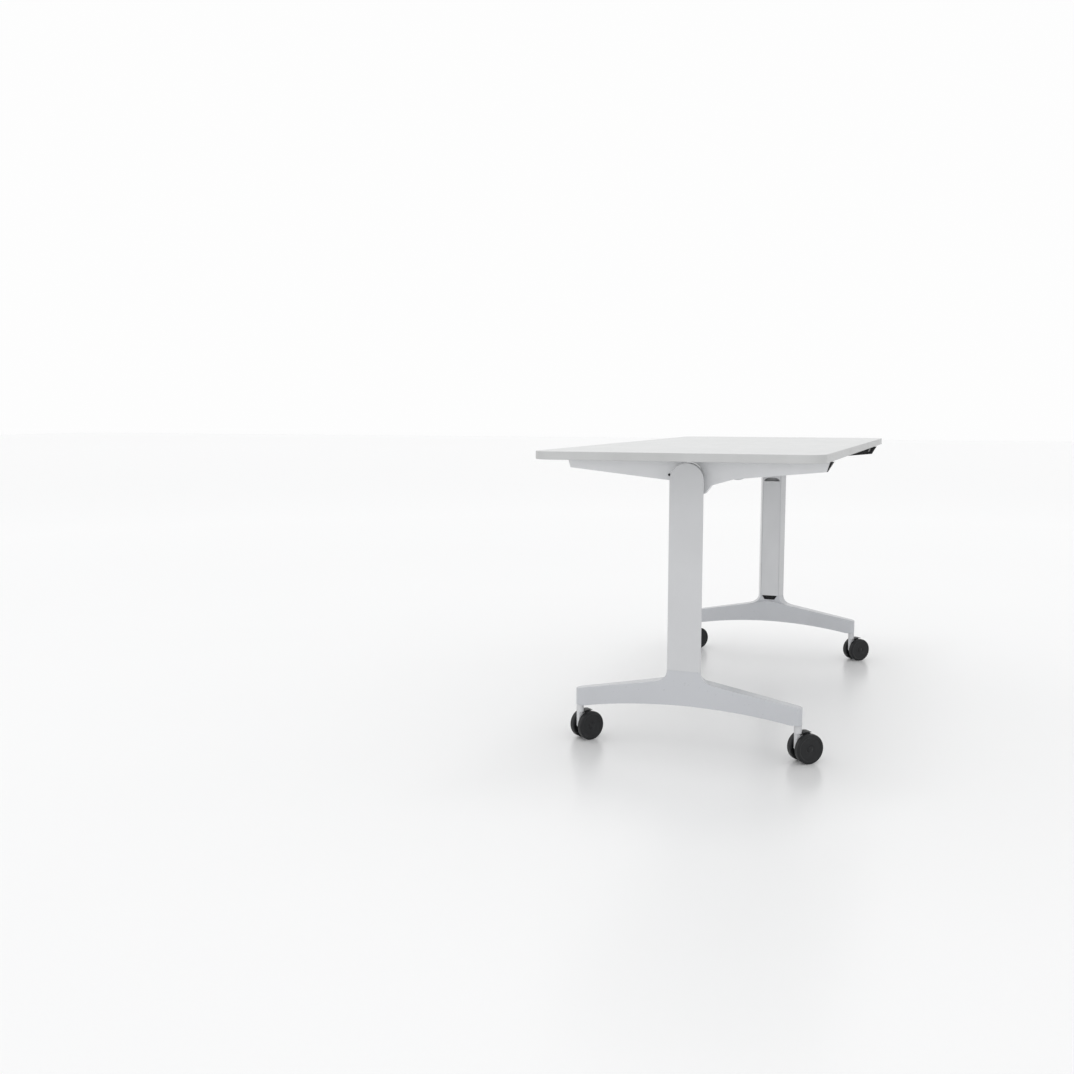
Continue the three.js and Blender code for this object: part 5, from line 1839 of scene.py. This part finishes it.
@dataclass
class Castor:
    """A twin-wheel castor, drawn with its swivel on Z, its axle on X, trailing towards -Y."""

    wheel_radius: float = 37.5
    wheel_inner: float = 8.3
    wheel_width: float = 16.0
    wheel_edge: float = 3.5
    trail: float = 22.0
    post_radius: float = 9.5
    post_top: float = 94.7
    shoulder_z: float = 74.0
    blade_half: float = 6.0
    boss_radius: float = 10.0
    toe_z: float = 27.0
    axle_radius: float = 4.0
    stem_radius: float = 5.0
    stem_length: float = 24.0
    hood_clearance: float = 2.0
    hood_thickness: float = 1.7
    hood_half: float = 11.0
    hood_post_angle: float = 48.0
    hood_tail_angle: float = 14.0
    ribs: int = 10

    @property
    def axle(self) -> Point:
        """Where the axle lies, across the castor and up."""
        return -self.trail, self.wheel_radius

    def post(self) -> Solid:
        """The post: a round shank that narrows to a blade between the wheels."""
        top, r, half = self.post_top, self.post_radius, self.blade_half
        shank = Solid.turned(Axis.Z, [
            (0, self.shoulder_z), (r - 1, self.shoulder_z), (r, self.shoulder_z + 1),
            (r, top - 0.8), (r - 0.8, top), (self.stem_radius, top),
            (self.stem_radius, top + self.stem_length), (0, top + self.stem_length),
        ], (0, 0), 48)
        reach = math.sqrt(r * r - half * half)
        z, b = self.wheel_radius, self.boss_radius
        blade = Solid.prism(Axis.X, softened([
            (reach, self.shoulder_z + 2, 0), (-reach, self.shoulder_z + 2, 0),
            (-self.trail, z + b, 6), (-self.trail, z - b, 6), (0, self.toe_z, 6),
            (reach, self.toe_z + r, 4),
        ]), -half, half)
        boss = Solid.bar(Axis.X, b, self.axle, -half, half, 40)
        return blade.join(boss).rounded(1.2, 3).join(shank)

    def hood(self) -> Solid:
        """The small hood behind the post."""
        inner = self.wheel_radius + self.hood_clearance
        low, high = 90 - self.hood_post_angle, 90 + self.hood_tail_angle
        outline = arc(self.axle, inner + self.hood_thickness, low, high, 20)
        outline += arc(self.axle, inner, high, low, 20)
        shell = Solid.prism(Axis.X, outline, -self.hood_half, self.hood_half)
        clear = Solid.bar(Axis.Z, self.post_radius + HAIR, (0, 0), self.toe_z, self.post_top, 48)
        behind = Solid.block((-40, 0, self.toe_z), (40, 60, self.post_top))
        return shell.cut(clear, behind).rounded(0.5, 2)

    def wheel(self) -> Solid:
        """The right-hand wheel: a rounded tread, a dished outer face and a ribbed inner side."""
        inner, outer = self.wheel_inner, self.wheel_inner + self.wheel_width
        r, e = self.wheel_radius, self.wheel_edge
        outer_edge = arc((r - e, outer - e), e, 90, 0, 8)
        inner_edge = arc((r - e, inner + e), e, 0, -90, 8)
        profile = [
            (0, outer - 0.1), (4.5, outer - 0.25), (7.4, outer - 0.9), (8.2, outer - 2.0),
            (10.4, outer - 2.0), (11.0, outer - 1.5), (28.6, outer - 1.1), (29.4, outer - 0.8),
            (30.4, outer - 0.1), (31.0, outer), *outer_edge, *inner_edge,
            (31.6, inner), (31.0, inner + 0.5), (30.6, inner + 3.4), (12.6, inner + 3.4),
            (12.0, inner + 2.8), (11.6, inner + 0.4), (11.2, inner), (4.3, inner),
            (4.3, inner + 11), (0, inner + 11),
        ]
        return Solid.turned(Axis.X, profile, self.axle, 72)

    def wheel_ribs(self, tree: RibTree) -> Solid:
        """The ribs in the wheel's inner dish, stood up by their tree.

        Args:
            tree: The ribs' tree.

        Returns:
            The ribs in the right-hand wheel's place.
        """
        low, high, height = 11.8, 30.8, 3.2
        mesh = tree.grown([], {
            "Count": self.ribs, "Middle Radius": (low + high) / 2 * MM,
            "Length": (high - low) * MM, "Thickness": 1.6 * MM, "Height": height * MM,
        })
        y, z = self.axle
        turn = Matrix.Rotation(math.radians(90), 4, "Y")
        middle = self.wheel_inner + 3.5 - height / 2
        mesh.transform(Matrix.Translation((middle * MM, y * MM, z * MM)) @ turn)
        return Solid(mesh)

    def build(self, shop: Workshop, name: str, ribs: RibTree) -> None:
        """Makes one castor, turned as the record parks it.

        Args:
            shop: Where pieces are made.
            name: Corner of the table that it stands under.
            ribs: The tree of the wheels' ribs.
        """
        joints = {joint["name"]: joint for joint in frame["joints"]}
        x, y, _ = joints[f"{name}_castor_swivel"]["pos_m"]
        axle = joints[f"{name}_right_wheel_roll"]["axis"]
        yaw = math.atan2(axle[1], axle[0])
        park = Matrix.Translation((x, y, 0)) @ Matrix.Rotation(yaw, 4, "Z")
        body = f"{name}_castor"
        shop.piece(
            f"{name}_post", self.post().moved(park).shaded(), "grey_plastic", body,
            [f"{name}_castor_post"],
        )
        shop.piece(
            f"{name}_hood", self.hood().moved(park).shaded(), "black_plastic", body,
            [f"{name}_castor_hood"],
        )
        wheel = self.wheel()
        spokes = self.wheel_ribs(ribs)
        for side in Side:
            joined = together(wheel.on(side), spokes.on(side))
            shop.piece(
                f"{name}_{side.word}_roller", joined.moved(park).shaded(), "black_plastic",
                f"{name}_{side.word}_wheel", [f"{name}_{side.word}_wheel"],
            )


@dataclass
class Studio:
    """The pale floor, the soft lights and the camera."""

    eye: tuple[float, float, float] = (-3.369, -0.665, 0.861)
    pitch: float = 6.42
    heading: float = 21.19
    lens: float = 38.1
    floor_size: float = 60.0
    sky: float = 0.985

    def floor(self) -> None:
        """A pale floor, painted darker near the table as a shadow and lighter far off, into the white surround."""
        half = self.floor_size / 2
        mesh = bpy.data.meshes.new("studio_floor")
        mesh.from_pydata(
            [(-half, -half, 0), (half, -half, 0), (half, half, 0), (-half, half, 0)], [],
            [(0, 1, 2, 3)],
        )
        recipe = Recipe("pale_floor")
        cloud = recipe.span(recipe.noise(0.8, 3), 0.0, 1.0)
        # painted shadow: darker within 0.8 m of the table, brightening out to 6 m where less lamp light falls
        near = recipe.blend(cloud, (0.825, 0.827, 0.83), (0.815, 0.817, 0.82))
        far = recipe.span(recipe.reach(), 0.0, 1.0, 0.8, 6.0)
        recipe.link(
            recipe.blend(far, near, (0.945, 0.947, 0.95)), recipe.shader.inputs["Base Color"]
        )
        recipe.shader.inputs["Roughness"].default_value = 0.28
        recipe.shader.inputs["Specular IOR Level"].default_value = 0.7
        mesh.materials.append(recipe.material)
        ground = bpy.data.objects.new("studio_floor", mesh)
        bpy.context.scene.collection.objects.link(ground)

    def light(
        self, name: str, place: Sequence[float], aim: Sequence[float], size: Point,
        watts: float, mirrored: bool = True,
    ) -> None:
        """A soft rectangular light.

        Args:
            name: Name of the light.
            place: Where it hangs.
            aim: What it points at.
            size: Its width and its height.
            watts: Its power.
            mirrored: Whether shiny surfaces show its reflection.
        """
        lamp = bpy.data.lights.new(name, "AREA")
        lamp.shape = "RECTANGLE"
        lamp.size, lamp.size_y = size
        lamp.energy = watts
        holder = bpy.data.objects.new(name, lamp)
        bpy.context.scene.collection.objects.link(holder)
        holder.location = place
        holder.visible_glossy = mirrored
        facing = Vector(aim) - Vector(place)
        holder.rotation_euler = facing.to_track_quat("-Z", "Y").to_euler()

    def sky_light(self) -> None:
        """An even white surround."""
        world = bpy.data.worlds.new("white_surround")
        world.use_nodes = True
        back = world.node_tree.nodes["Background"]
        back.inputs["Color"].default_value = (1.0, 1.0, 1.0, 1.0)
        back.inputs["Strength"].default_value = self.sky
        bpy.context.scene.world = world

    def camera(self) -> None:
        """The camera, where the photograph was taken from."""
        lens = bpy.data.cameras.new("photo_view")
        lens.lens = self.lens
        lens.sensor_width = 36.0
        lens.clip_end = 200.0
        holder = bpy.data.objects.new("photo_view", lens)
        holder.location = self.eye
        holder.rotation_euler = (
            math.radians(90 - self.pitch), 0.0, math.radians(self.heading - 90)
        )
        bpy.context.scene.collection.objects.link(holder)
        bpy.context.scene.camera = holder

    def build(self) -> None:
        """Sets the scene round the table."""
        self.floor()
        self.sky_light()
        self.light("overhead", (0.2, 0.3, 5.0), (0.0, 0.0, 0.4), (4.0, 0.6), 40.0)
        self.light("front_fill", (-14.0, -1.3, 1.3), (0.0, 0.0, 0.55), (10.4, 2.4), 322.0, False)
        self.camera()
        bpy.context.scene.view_settings.view_transform = "Standard"


def main() -> None:
    """Builds the table piece by piece and sets it in the studio."""
    Studio().build()
    worktop = Worktop()
    finishes = Finishes(worktop.underside)
    finishes.dress_solids()
    shop = Workshop(finishes)
    screws = ScrewTree(finishes.of("steel"))
    springs = SpringTree(finishes.of("steel"))
    ribs = RibTree(finishes.of("black_plastic"))
    leg, arm, latch, castor = Leg(), Arm(), Latch(), Castor()
    worktop.build(shop)
    CrossTube().build(shop)
    for side in Side:
        leg.build(shop, side)
        arm.build(shop, side)
        latch.build(shop, side, springs, screws)
    Fasteners(arm, leg).build(shop, screws)
    for end in ("front", "rear"):
        for side in Side:
            castor.build(shop, f"{end}_{side.word}", ribs)
    log.info("%d pieces", shop.made)


if __name__ == "__main__":
    main()
